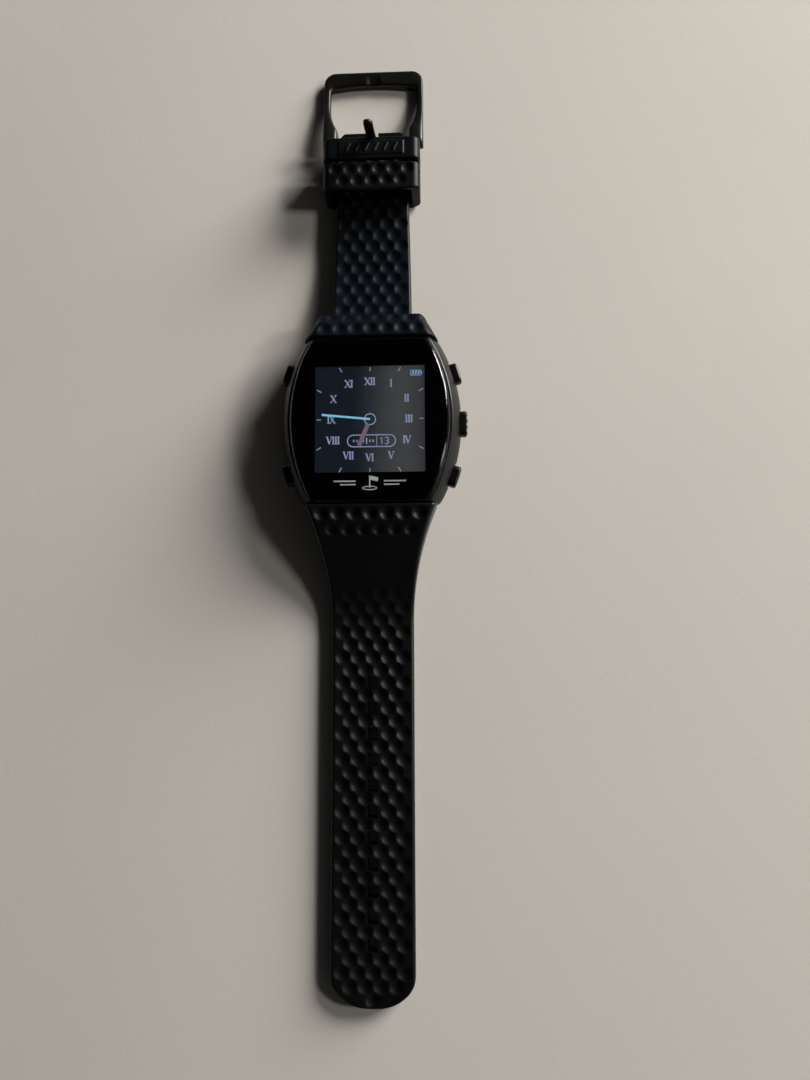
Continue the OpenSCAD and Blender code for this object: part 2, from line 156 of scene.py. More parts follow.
def plate(x: np.ndarray, y: np.ndarray, top: np.ndarray, bottom: np.ndarray, solid: np.ndarray) -> Surface:
    """Closed plate over a grid of places, with the heights of both faces at each place.

    Args:
        x, y, top, bottom: arrays of the same shape.
        solid: True for each cell of the grid that is filled; the rest are holes.

    Returns:
        Both faces, and a wall at every border between a filled cell and an empty one.
    """
    rows, cols = x.shape
    size = rows * cols
    ids = np.arange(size).reshape(rows, cols)
    a, b, c, d = ids[:-1, :-1], ids[1:, :-1], ids[1:, 1:], ids[:-1, 1:]
    upper = np.stack([a, b, c, d], -1)[solid]
    faces = [upper, upper[:, ::-1] + size]
    filled = np.pad(solid, 1)
    for near, edge in (((-1, 0), (a, d)), ((1, 0), (c, b)), ((0, -1), (b, a)), ((0, 1), (d, c))):
        beside = filled[1 + near[0]:rows + near[0], 1 + near[1]:cols + near[1]]
        border = solid & ~beside
        p, q = edge[0][border], edge[1][border]
        faces.append(np.stack([p, q, q + size, p + size], -1))
    quads = np.vstack(faces)
    used, renamed = np.unique(quads, return_inverse=True)
    both = np.concatenate([np.stack([x, y, z], -1).reshape(-1, 3) for z in (top, bottom)])
    return Surface(both[used], renamed.reshape(quads.shape).tolist())


def tonneau(half: float, radius: float, end: float, around: int, sharp: float = 60.0) -> np.ndarray:
    """Plan outline between two side arcs and two straight ends, with slightly round corners.

    Along the direction t the arc is at c|cos t| + sqrt(r^2 - c^2 sin^2 t), where c = half - r, and the
    end is at end/|sin t|. The outline is their soft minimum, (arc^-p + end^-p)^(-1/p).

    Args:
        half: half width at the middle.
        radius: radius of the side arcs.
        end: half length.
        around: number of points.
        sharp: the power p.

    Returns:
        Points on the outline, anticlockwise.
    """
    t = 2.0 * math.pi * np.arange(around) / around
    centre = half - radius
    arc = centre * np.abs(np.cos(t)) + np.sqrt(radius**2 - (centre * np.sin(t)) ** 2)
    straight = end / np.maximum(np.abs(np.sin(t)), 1e-9)
    reach = arc * (1.0 + (arc / straight) ** sharp) ** (-1.0 / sharp)
    return np.stack([reach * np.cos(t), reach * np.sin(t)], -1)


def round_box(width: float, height: float, corner: float, around: int) -> np.ndarray:
    """Outline of a rectangle with round corners, its points spread evenly, anticlockwise from +X.

    A point's distance along the outline falls on a straight side or on a corner's quarter circle.
    """
    turn = np.linspace(0.0, math.pi / 2, 9)
    arc = corner * np.stack([np.cos(turn), np.sin(turn)], -1)
    inner = np.array([width / 2 - corner, height / 2 - corner])
    quarter = inner + arc
    path = np.vstack([quarter, (quarter * [-1, 1])[::-1], quarter * [-1, -1], (quarter * [1, -1])[::-1]])
    path = np.vstack([[width / 2, 0.0], path, [width / 2, 0.0]])
    length = np.concatenate([[0.0], np.cumsum(np.hypot(*np.diff(path, axis=0).T))])
    at = length[-1] * np.arange(around) / around
    return np.stack([np.interp(at, length, path[:, 0]), np.interp(at, length, path[:, 1])], -1)


def rect_distance(x: np.ndarray, y: np.ndarray, width: float, height: float, corner: float) -> np.ndarray:
    """Signed distance to a rectangle with round corners, negative inside."""
    dx, dy = np.abs(x) - width / 2 + corner, np.abs(y) - height / 2 + corner
    outside = np.hypot(np.maximum(dx, 0.0), np.maximum(dy, 0.0))
    return outside + np.minimum(np.maximum(dx, dy), 0.0) - corner


def stack(outlines: Sequence[np.ndarray], heights: Sequence[float]) -> np.ndarray:
    """Rings made of plan outlines, each at its height."""
    return np.stack([np.column_stack([o, np.full(len(o), z)]) for o, z in zip(outlines, heights)])


def ribbon(path: np.ndarray, width: float, low: float, high: float) -> Surface:
    """A thin flat bar of one width along a path in plan, cut square at both ends."""
    along = np.gradient(path, axis=0)
    along /= np.hypot(along[:, 0], along[:, 1])[:, None]
    side = np.stack([-along[:, 1], along[:, 0]], -1) * width / 2
    left, right = path + side, path - side
    rings = np.stack([
        np.column_stack([left, np.full(len(path), high)]), np.column_stack([right, np.full(len(path), high)]),
        np.column_stack([right, np.full(len(path), low)]), np.column_stack([left, np.full(len(path), low)])], 1)
    count = len(path)
    i, j = np.arange(count - 1)[:, None], np.arange(4)[None, :]
    m = (j + 1) % 4
    quads = np.stack([i * 4 + j, i * 4 + m, (i + 1) * 4 + m, (i + 1) * 4 + j], -1).reshape(-1, 4).tolist()
    return Surface(rings.reshape(-1, 3), quads + [[3, 2, 1, 0], [count * 4 - 4 + k for k in range(4)]])


def piece(name: str, surface: Surface, material: bpy.types.Material,
          crease: float = CREASE) -> bpy.types.Object:
    """Puts a surface into a new object at the origin.

    Args:
        name: the object's name.
        surface: its points, in millimetres, and faces.
        material: its finish.
        crease: edges that turn by more than this angle stay sharp.

    Returns:
        The object, linked to the scene.
    """
    mesh = bpy.data.meshes.new(name)
    mesh.from_pydata((surface.points * MM).tolist(), [], surface.faces)
    work = bmesh.new()
    work.from_mesh(mesh)
    bmesh.ops.recalc_face_normals(work, faces=work.faces)
    work.to_mesh(mesh)
    work.free()
    mesh.polygons.foreach_set("use_smooth", np.ones(len(mesh.polygons), bool))
    mesh.set_sharp_from_angle(angle=crease)
    mesh.materials.append(material)
    made = bpy.data.objects.new(name, mesh)
    bpy.context.scene.collection.objects.link(made)
    LOG.info("%s: %d points, %d faces", name, len(mesh.vertices), len(mesh.polygons))
    return made


def box_mm(node: str) -> tuple[np.ndarray, np.ndarray]:
    """Lowest and highest corner of a CAD node, in millimetres."""
    low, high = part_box(node)
    return np.array(low) / MM, np.array(high) / MM


def joint_mm(name: str) -> np.ndarray:
    """Where a joint's axis is, in millimetres."""
    return np.array(next(j["pos_m"] for j in frame["joints"] if j["name"] == name)) / MM


# ---------------------------------------------------------------- finishes

def group_start(name: str, inputs: dict[str, object], output: str, kind: str) -> tuple:
    """Makes a shader node group with named sockets.

    Args:
        name: the group's name.
        inputs: default value of each input; a tuple is a colour.
        output: name of its one output.
        kind: socket type of the output.

    Returns:
        The group, its input node and its output node.
    """
    group = bpy.data.node_groups.new(name, "ShaderNodeTree")
    for label, value in inputs.items():
        of_type = "NodeSocketColor" if isinstance(value, tuple) else "NodeSocketFloat"
        group.interface.new_socket(label, in_out="INPUT", socket_type=of_type).default_value = value
    group.interface.new_socket(output, in_out="OUTPUT", socket_type=kind)
    return group, group.nodes.new("NodeGroupInput"), group.nodes.new("NodeGroupOutput")


def noise_in(group: bpy.types.NodeTree, given: bpy.types.Node, detail: float) -> bpy.types.Node:
    """Noise on object coordinates inside a group, its scale taken from the input named Scale."""
    place = group.nodes.new("ShaderNodeTexCoord")
    noise = group.nodes.new("ShaderNodeTexNoise")
    noise.inputs["Detail"].default_value = detail
    group.links.new(place.outputs["Object"], noise.inputs["Vector"])
    group.links.new(given.outputs["Scale"], noise.inputs["Scale"])
    return noise


def ranged(group: bpy.types.NodeTree, value: object, low: object, high: object) -> bpy.types.Node:
    """Map Range from the noise's useful span, 0.3 to 0.7, to low and high, each a number or a socket."""
    node = group.nodes.new("ShaderNodeMapRange")
    node.inputs["From Min"].default_value, node.inputs["From Max"].default_value = 0.3, 0.7
    group.links.new(value, node.inputs["Value"])
    for label, bound in (("To Min", low), ("To Max", high)):
        if isinstance(bound, float):
            node.inputs[label].default_value = bound
        else:
            group.links.new(bound, node.inputs[label])
    return node


def tone_group() -> bpy.types.NodeTree:
    """Group Tone: mixes two colours in soft patches."""
    group, given, out = group_start(
        "Tone", {"Color": (0.5, 0.5, 0.5, 1.0), "Patch": (0.4, 0.4, 0.4, 1.0), "Scale": 60.0}, "Color",
        "NodeSocketColor")
    noise = noise_in(group, given, 3.0)
    share = ranged(group, noise.outputs["Fac"], 0.0, 1.0)
    mix = group.nodes.new("ShaderNodeMix")
    mix.data_type = "RGBA"
    group.links.new(share.outputs["Result"], mix.inputs["Factor"])
    group.links.new(given.outputs["Color"], mix.inputs["A"])
    group.links.new(given.outputs["Patch"], mix.inputs["B"])
    group.links.new(mix.outputs["Result"], out.inputs["Color"])
    return group


def smudge_group() -> bpy.types.NodeTree:
    """Group Smudge: roughness between two values, as handling leaves it."""
    group, given, out = group_start(
        "Smudge", {"Low": 0.3, "High": 0.5, "Scale": 90.0}, "Roughness", "NodeSocketFloat")
    noise = noise_in(group, given, 5.0)
    span = ranged(group, noise.outputs["Fac"], given.outputs["Low"], given.outputs["High"])
    group.links.new(span.outputs["Result"], out.inputs["Roughness"])
    return group


def grain_group() -> bpy.types.NodeTree:
    """Group Grain: the fine height of a moulded or blasted surface, with a coarser swell under it."""
    group, given, out = group_start("Grain", {"Scale": 2500.0, "Swell": 0.3}, "Height", "NodeSocketFloat")
    fine = noise_in(group, given, 2.0)
    place = group.nodes.new("ShaderNodeTexCoord")
    swell = group.nodes.new("ShaderNodeTexNoise")
    swell.inputs["Scale"].default_value = 180.0
    group.links.new(place.outputs["Object"], swell.inputs["Vector"])
    scaled = group.nodes.new("ShaderNodeMath")
    scaled.operation = "MULTIPLY_ADD"
    group.links.new(swell.outputs["Fac"], scaled.inputs[0])
    group.links.new(given.outputs["Swell"], scaled.inputs[1])
    group.links.new(fine.outputs["Fac"], scaled.inputs[2])
    group.links.new(scaled.outputs["Value"], out.inputs["Height"])
    return group


class Groups:
    """The shader groups that all the finishes share."""

    tone = tone_group()
    smudge = smudge_group()
    grain = grain_group()


@dataclass(frozen=True)
class Finish:
    """A surface finish: patchy colour, uneven roughness and fine grain.

    Sizes of the patterns are noise scales per metre; the grain's height is in metres.
    """

    name: str
    color: tuple[float, float, float]
    patch: tuple[float, float, float]
    rough_low: float
    rough_high: float
    metallic: float = 0.0
    coat: float = 0.0
    specular: float = 0.5
    tone_scale: float = 60.0
    smudge_scale: float = 90.0
    grain_scale: float = 2500.0
    grain_height: float = 0.00002
    # Painted light: strength of a glow in the finish's own colour, for marks under the glass that the lamps' light
    # does not reach.
    painted_glow: float = 0.0
    fades_to: tuple[float, float, float] | None = None
    fade: tuple[float, float] = (0.03, 0.06)

    def make(self) -> bpy.types.Material:
        """Builds the material once and returns it."""
        name = f"{self.name}_finish"
        if name in bpy.data.materials:
            return bpy.data.materials[name]
        material = bpy.data.materials.new(name)
        material.use_nodes = True
        tree = material.node_tree
        shader = tree.nodes["Principled BSDF"]
        shader.inputs["Metallic"].default_value = self.metallic
        shader.inputs["Coat Weight"].default_value = self.coat
        shader.inputs["Coat Roughness"].default_value = 0.04
        shader.inputs["Specular IOR Level"].default_value = self.specular
        tone = self.placed(tree, Groups.tone, {"Scale": self.tone_scale})
        tone.inputs["Color"].default_value = (*self.color, 1.0)
        tone.inputs["Patch"].default_value = (*self.patch, 1.0)
        color = self.faded(tree, tone.outputs["Color"]) if self.fades_to else tone.outputs["Color"]
        tree.links.new(color, shader.inputs["Base Color"])
        smudge = self.placed(tree, Groups.smudge, {
            "Low": self.rough_low, "High": self.rough_high, "Scale": self.smudge_scale})
        tree.links.new(smudge.outputs["Roughness"], shader.inputs["Roughness"])
        grain = self.placed(tree, Groups.grain, {"Scale": self.grain_scale})
        bump = tree.nodes.new("ShaderNodeBump")
        bump.inputs["Distance"].default_value = self.grain_height
        tree.links.new(grain.outputs["Height"], bump.inputs["Height"])
        tree.links.new(bump.outputs["Normal"], shader.inputs["Normal"])
        # Painted light: the colour also glows, in place of lamp light through the glass.
        if self.painted_glow:
            tree.links.new(tone.outputs["Color"], shader.inputs["Emission Color"])
            shader.inputs["Emission Strength"].default_value = self.painted_glow
        return material

    def faded(self, tree: bpy.types.NodeTree, color: bpy.types.NodeSocket) -> bpy.types.NodeSocket:
        """Mixes the colour into fades_to along Y.

        Args:
            tree: the material's nodes.
            color: the colour at the near end.

        Returns:
            The socket that carries the mixed colour.
        """
        place = tree.nodes.new("ShaderNodeTexCoord")
        parts = tree.nodes.new("ShaderNodeSeparateXYZ")
        tree.links.new(place.outputs["Object"], parts.inputs["Vector"])
        share = tree.nodes.new("ShaderNodeMapRange")
        share.interpolation_type = "SMOOTHSTEP"
        share.inputs["From Min"].default_value, share.inputs["From Max"].default_value = self.fade
        tree.links.new(parts.outputs["Y"], share.inputs["Value"])
        mix = tree.nodes.new("ShaderNodeMix")
        mix.data_type = "RGBA"
        tree.links.new(share.outputs["Result"], mix.inputs["Factor"])
        tree.links.new(color, mix.inputs["A"])
        mix.inputs["B"].default_value = (*self.fades_to, 1.0)
        return mix.outputs["Result"]

    @staticmethod
    def placed(tree: bpy.types.NodeTree, group: bpy.types.NodeTree, values: dict[str, float]) -> bpy.types.Node:
        """Adds a shared group to a material with its own values."""
        node = tree.nodes.new("ShaderNodeGroup")
        node.node_tree = group
        for label, value in values.items():
            node.inputs[label].default_value = value
        return node


def grey(value: float) -> tuple[float, float, float]:
    """A neutral colour."""
    return (value, value, value)


RUBBER = Finish("strap_rubber", (0.0028, 0.0030, 0.0031), (0.0019, 0.0021, 0.0022), 0.34, 0.42, specular=0.40,
                grain_height=0.000014)
NAVY_RUBBER = Finish("strap_rubber_navy", (0.0014, 0.0044, 0.0095), (0.0020, 0.0038, 0.0068), 0.38, 0.46,
                     specular=0.16, grain_height=0.000014, fades_to=(0.0030, 0.0036, 0.0048))
CASE = Finish("case_black", (0.0034, 0.0034, 0.0037), (0.0024, 0.0024, 0.0026), 0.27, 0.36, specular=0.34,
              grain_height=0.000008)
COVER = Finish("cover_black", (0.014, 0.014, 0.015), (0.010, 0.010, 0.011), 0.5, 0.62, grain_height=0.00004)
BUTTON = Finish("button_black", (0.0030, 0.0030, 0.0032), (0.0022, 0.0022, 0.0024), 0.20, 0.28, specular=0.35,
                grain_height=0.000005)
MASK = Finish("printed_black", grey(0.0005), grey(0.0003), 0.8, 0.9, specular=0.0, grain_height=0.000002)
BUCKLE = Finish("buckle_black", (0.060, 0.058, 0.053), (0.046, 0.045, 0.041), 0.34, 0.44, metallic=1.0,
                grain_height=0.000004)
STEEL = Finish("steel", (0.55, 0.56, 0.58), (0.48, 0.49, 0.51), 0.24, 0.36, metallic=1.0, grain_height=0.000004)
SEAL = Finish("seal_rubber", grey(0.02), grey(0.014), 0.6, 0.75)
TIN = Finish("tin", grey(0.7), grey(0.62), 0.3, 0.45, metallic=1.0, grain_height=0.000005)
GOLD = Finish("gold", (0.85, 0.62, 0.22), (0.78, 0.56, 0.2), 0.18, 0.3, metallic=1.0, grain_height=0.000003)
BOARD = Finish("board", (0.015, 0.16, 0.07), (0.012, 0.12, 0.05), 0.3, 0.45)
FILM = Finish("flex_film", (0.5, 0.22, 0.03), (0.42, 0.18, 0.02), 0.25, 0.4)
FOIL = Finish("battery_foil", (0.6, 0.62, 0.64), (0.5, 0.52, 0.54), 0.35, 0.5, metallic=1.0, grain_height=0.00003)
FOAM = Finish("foam", grey(0.05), grey(0.035), 0.85, 0.95, grain_scale=900.0, grain_height=0.0001)
CERAMIC = Finish("antenna_ceramic", (0.6, 0.52, 0.4), (0.55, 0.47, 0.35), 0.5, 0.65)
CHASSIS = Finish("chassis", grey(0.03), grey(0.022), 0.5, 0.62)
LIGHT_GUIDE = Finish("backlight", grey(0.8), grey(0.75), 0.3, 0.4)
FLOOR = Finish("table_top", (0.72, 0.685, 0.625), (0.69, 0.655, 0.60), 0.7, 0.8, specular=0.2, tone_scale=9.0,
               grain_scale=700.0)
# These marks and the flag print glow with painted light, which stands in for the lamp light the glass keeps from
# them.
MARKS = Finish("dial_marks", (0.29, 0.34, 0.51), (0.26, 0.31, 0.46), 0.4, 0.5, specular=0.1, painted_glow=0.6)
MINUTE = Finish("minute_hand", (0.22, 0.60, 0.80), (0.20, 0.56, 0.76), 0.4, 0.5, specular=0.1, painted_glow=0.6)
HOUR = Finish("hour_hand", (0.20, 0.135, 0.19), (0.18, 0.12, 0.17), 0.4, 0.5, specular=0.1, painted_glow=0.6)
CHARGE = Finish("battery_mark", (0.24, 0.40, 0.68), (0.22, 0.37, 0.62), 0.4, 0.5, specular=0.1, painted_glow=0.6)
EMBLEM = Finish("emblem_print", grey(0.42), grey(0.38), 0.4, 0.5, specular=0.1, painted_glow=0.4)


@dataclass(frozen=True)
class GlassFinish:
    """Clear polished glass."""

    name: str = "front_glass_finish"
    index: float = 1.5
    roughness: float = 0.008

    def make(self) -> bpy.types.Material:
        """Builds the material and returns it."""
        material = bpy.data.materials.new(self.name)
        material.use_nodes = True
        tree = material.node_tree
        shader = tree.nodes["Principled BSDF"]
        shader.inputs["Base Color"].default_value = (0.97, 0.98, 1.0, 1.0)
        shader.inputs["Transmission Weight"].default_value = 1.0
        shader.inputs["IOR"].default_value = self.index
        values = {"Low": self.roughness, "High": self.roughness * 3, "Scale": 150.0}
        smudge = Finish.placed(tree, Groups.smudge, values)
        tree.links.new(smudge.outputs["Roughness"], shader.inputs["Roughness"])
        return material


@dataclass(frozen=True)
class LcdPaintedGlow:
    """Dark grey liquid crystal display that glows with painted light in place of the lamp light the glass keeps from
    it, brighter in a painted band near one side.
    """

    name: str = "lcd_painted_glow"
    dark: tuple[float, float, float] = (0.0085, 0.0120, 0.0185)
    painted_band_light: tuple[float, float, float] = (0.060, 0.063, 0.066)
    band_at: float = 0.0078
    band_width: float = 0.0125

    def make(self) -> bpy.types.Material:
        """Builds the material and returns it."""
        material = bpy.data.materials.new(self.name)
        material.use_nodes = True
        tree = material.node_tree
        shader = tree.nodes["Principled BSDF"]
        place = tree.nodes.new("ShaderNodeTexCoord")
        parts = tree.nodes.new("ShaderNodeSeparateXYZ")
        tree.links.new(place.outputs["Object"], parts.inputs["Vector"])
        away = tree.nodes.new("ShaderNodeMath")
        away.operation = "SUBTRACT"
        away.inputs[1].default_value = self.band_at
        tree.links.new(parts.outputs["X"], away.inputs[0])
        far = tree.nodes.new("ShaderNodeMath")
        far.operation = "ABSOLUTE"
        tree.links.new(away.outputs["Value"], far.inputs[0])
        share = tree.nodes.new("ShaderNodeMapRange")
        share.interpolation_type = "SMOOTHSTEP"
        share.inputs["From Max"].default_value = self.band_width
        share.inputs["To Min"].default_value = 1.0
        share.inputs["To Max"].default_value = 0.0
        tree.links.new(far.outputs["Value"], share.inputs["Value"])
        mix = tree.nodes.new("ShaderNodeMix")
        mix.data_type = "RGBA"
        mix.inputs["A"].default_value = (*self.dark, 1.0)
        mix.inputs["B"].default_value = (*self.painted_band_light, 1.0)
        tree.links.new(share.outputs["Result"], mix.inputs["Factor"])
        tree.links.new(mix.outputs["Result"], shader.inputs["Base Color"])
        tree.links.new(mix.outputs["Result"], shader.inputs["Emission Color"])
        # Painted light: the panel glows in its own colour, with the band of painted light mixed in.
        shader.inputs["Emission Strength"].default_value = 0.6
        shader.inputs["Specular IOR Level"].default_value = 0.1
        smudge = Finish.placed(tree, Groups.smudge, {"Low": 0.4, "High": 0.5})
        tree.links.new(smudge.outputs["Roughness"], shader.inputs["Roughness"])
        return material


# ---------------------------------------------------------------- case, glass and buttons

class Side(Enum):
    """The two sides of the case that carry buttons."""

    RIGHT = 1
    LEFT = -1


@dataclass(frozen=True)
class Button:
    """A push button on a side wall."""

    name: str
    side: Side
    at: float
    length: float
    grooves: int = 0


BUTTONS = (
    Button("right_upper", Side.RIGHT, 12.2, 5.4), Button("right_middle", Side.RIGHT, -0.4, 6.4, 4),
    Button("right_lower", Side.RIGHT, -13.4, 5.4), Button("left_upper", Side.LEFT, 12.6, 5.4),
    Button("left_lower", Side.LEFT, -12.6, 5.4))


@dataclass
class CaseShell:
    """The tonneau case, its front glass and its buttons. Sizes in millimetres."""

    half: float = 22.15
    end: float = 20.6
    side_radius: float = 41.3
    low: float = 1.8
    waist: float = 7.5
    top: float = 12.3
    upper_lean: float = 2.05
    lower_lean: float = 2.4
    button_height: float = 7.0
    cap_height: float = 3.2
    pocket: float = 2.3
    travel: float = 0.6
    proud: float = 1.5
    around: int = 840

    def inset(self, z: float) -> float:
        """How far the side wall leans in at the height z: a power of the distance from the waist."""
        if z > self.waist:
            return self.upper_lean * ((z - self.waist) / (self.top - self.waist)) ** 1.35
        return self.lower_lean * ((self.waist - z) / (self.waist - self.low)) ** 1.5

    def wall_at(self, inset: float, end_inset: float, z: float) -> np.ndarray:
        """The outer wall's ring at one height, with a pocket sunk in for each button.

        The pocket's depth follows a smooth step of the signed distance to the button's outline.
        """
        plan = tonneau(self.half - inset, self.side_radius - inset, self.end - end_inset, self.around)
        centre = np.array([self.half - self.side_radius, 0.0])
        depth = np.zeros(self.around)
        for button in BUTTONS:
            own = plan * [button.side.value, 1.0] - centre
            along = self.side_radius * (np.arctan2(own[:, 1], own[:, 0]) - math.asin(button.at / self.side_radius))
            along = np.where(plan[:, 0] * button.side.value > 0, along, 99.0)
            gap = rect_distance(along, np.full_like(along, z - self.button_height),
                                button.length + 0.86, self.cap_height + 0.86, 1.6)
            depth = np.maximum(depth, (self.pocket - inset) * smooth_step(0.15 - gap / 0.34))
        outward = (plan * [1.0, 1.0] - centre * np.sign(plan[:, :1])) / self.side_radius
        plan = plan - outward * depth[:, None] * (depth[:, None] > 0)
        return np.column_stack([plan, np.full(self.around, z)])

    def shell(self) -> Surface:
        """The case: its outer wall up, the rim over into the glass seat, and the cavity wall down."""
        rings = [self.wall_at(self.lower_lean + 0.25, 0.25, self.low)]
        for z in np.linspace(self.low + 0.15, self.top - 0.2, 74):
            rings.append(self.wall_at(self.inset(z), 0.0, z))
        for share in (0.3, 0.7, 1.0):
            lean = self.upper_lean + 0.05 + 0.16 * share**2
            rings.append(self.wall_at(lean, 0.07 * share, self.top - 0.2 + 0.2 * math.sqrt(share)))
        seat = [(19.56, 41.7, 20.5, 12.3), (19.5, 41.65, 20.45, 12.2), (19.5, 41.65, 20.45, 11.6),
                (18.4, 40.6, 19.2, 11.6), (17.6, 36.75, 17.8, 11.2), (17.6, 36.75, 17.8, self.low)]
        for half, radius, end, z in seat:
            rings.append(np.column_stack([tonneau(half, radius, end, self.around), np.full(self.around, z)]))
        return loft(np.stack(rings), wrap=True)

    def glass(self) -> Surface:
        """The front glass: flat in the middle, sloped ends, a polished bevel round its edge.

        The upper face is rings of the outline drawn in towards the middle, at the height
        top - slope * softplus(|y| - fold), which bends smoothly into the two sloped ends.
        """
        low, high = box_mm("front_glass")
        half, end, around = high[0], high[1], 360
        fold, slope, soft = 15.6, 0.165, 0.25
        edge = [(0.25, low[2]), (0.0, low[2] + 0.2), (0.0, high[2] - 0.95), (0.05, high[2] - 0.8),
                (0.35, high[2] - 0.42), (0.65, high[2] - 0.16), (0.95, high[2] - 0.04), (1.3, high[2])]
        rings = stack([tonneau(half - d, 41.6 - d, end - d * 0.35, around) for d, _ in edge], [z for _, z in edge])
        inner = tonneau(half - 1.3, 40.3, end - 0.455, around)
        shares = np.linspace(0.97, 0.03, 30)
        face = np.stack([np.column_stack([inner * s, np.full(around, high[2])]) for s in shares])
        rings = np.concatenate([rings, face])

        def sloped(points: np.ndarray) -> np.ndarray:
            """Lowers what lies past the folds."""
            past = soft * np.logaddexp(0.0, (np.abs(points[:, 1]) - fold) / soft)
            weight = smooth_step((points[:, 2] - low[2]) / (high[2] - low[2]))
            return points - np.column_stack([past * 0, past * 0, slope * past * weight])

        return loft(rings).moved(sloped)

    def cap(self, button: Button) -> Surface:
        """A button: a domed cap with a round edge, on its stem, standing on the side wall's normal."""
        inner = self.travel + 0.2 - self.pocket
        profile = [(0.12, inner), (0.0, inner + 0.12), (0.0, self.proud - 0.55), (0.05, self.proud - 0.32),
                   (0.2, self.proud - 0.13), (0.45, self.proud - 0.03), (0.75, self.proud + 0.02)]
        around = 192
        outlines = [round_box(self.cap_height - 2 * d, button.length - 2 * d, 1.25 - d * 0.6, around) for d, _ in profile]
        rings = stack(outlines, [z for _, z in profile])
        dome = np.stack([np.column_stack([outlines[-1] * s, np.full(around, self.proud + 0.02 + 0.08 * (1 - s * s))])
                         for s in np.linspace(0.96, 0.04, 24)])
        turn = 2 * math.pi * np.arange(24) / 24
        circle = np.stack([np.cos(turn), np.sin(turn)], -1) * 0.8
        stem = loft(stack([circle * 0.9, circle, circle], [-5.25, -5.15, inner + 0.05]))
        angle = math.asin(button.at / self.side_radius)
        ahead = np.array([math.cos(angle), math.sin(angle), 0.0])
        across = np.array([-math.sin(angle), math.cos(angle), 0.0])
        start = np.array([self.half - self.side_radius, 0.0, self.button_height]) + ahead * self.side_radius

        def placed(points: np.ndarray) -> np.ndarray:
            """Turns plan x to height, plan y to along the wall and height to outwards, with its grooves."""
            if button.grooves:
                wave = 0.5 - 0.5 * np.cos(2 * math.pi * button.grooves * (points[:, 1] / button.length + 0.5))
                near_top = smooth_step((points[:, 2] - self.proud + 0.35) / 0.3)
                points = points - np.outer(0.3 * (1 - wave) ** 2 * near_top, [0.0, 0.0, 1.0])
            moved = start + points[:, 2:3] * ahead + points[:, 1:2] * across + points[:, :1] * [0.0, 0.0, 1.0]
            return moved * [button.side.value, 1.0, 1.0]

        return (loft(np.concatenate([rings, dome])) + stem).moved(placed)

    def build(self) -> None:
        """Makes the case, the glass and the buttons."""
        case = piece("case_shell", self.shell(), CASE.make())
        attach(case, "head")
        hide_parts("case_body")
        glass = piece("front_glass_polished", self.glass(), GlassFinish().make(), math.radians(28))
        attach(glass, "head")
        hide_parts("front_glass")
        for button in BUTTONS:
            made = piece(f"button_cap_{button.name}", self.cap(button), BUTTON.make())
            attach(made, f"button_{button.name}")
            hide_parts(f"button_{button.name}")


# ---------------------------------------------------------------- display

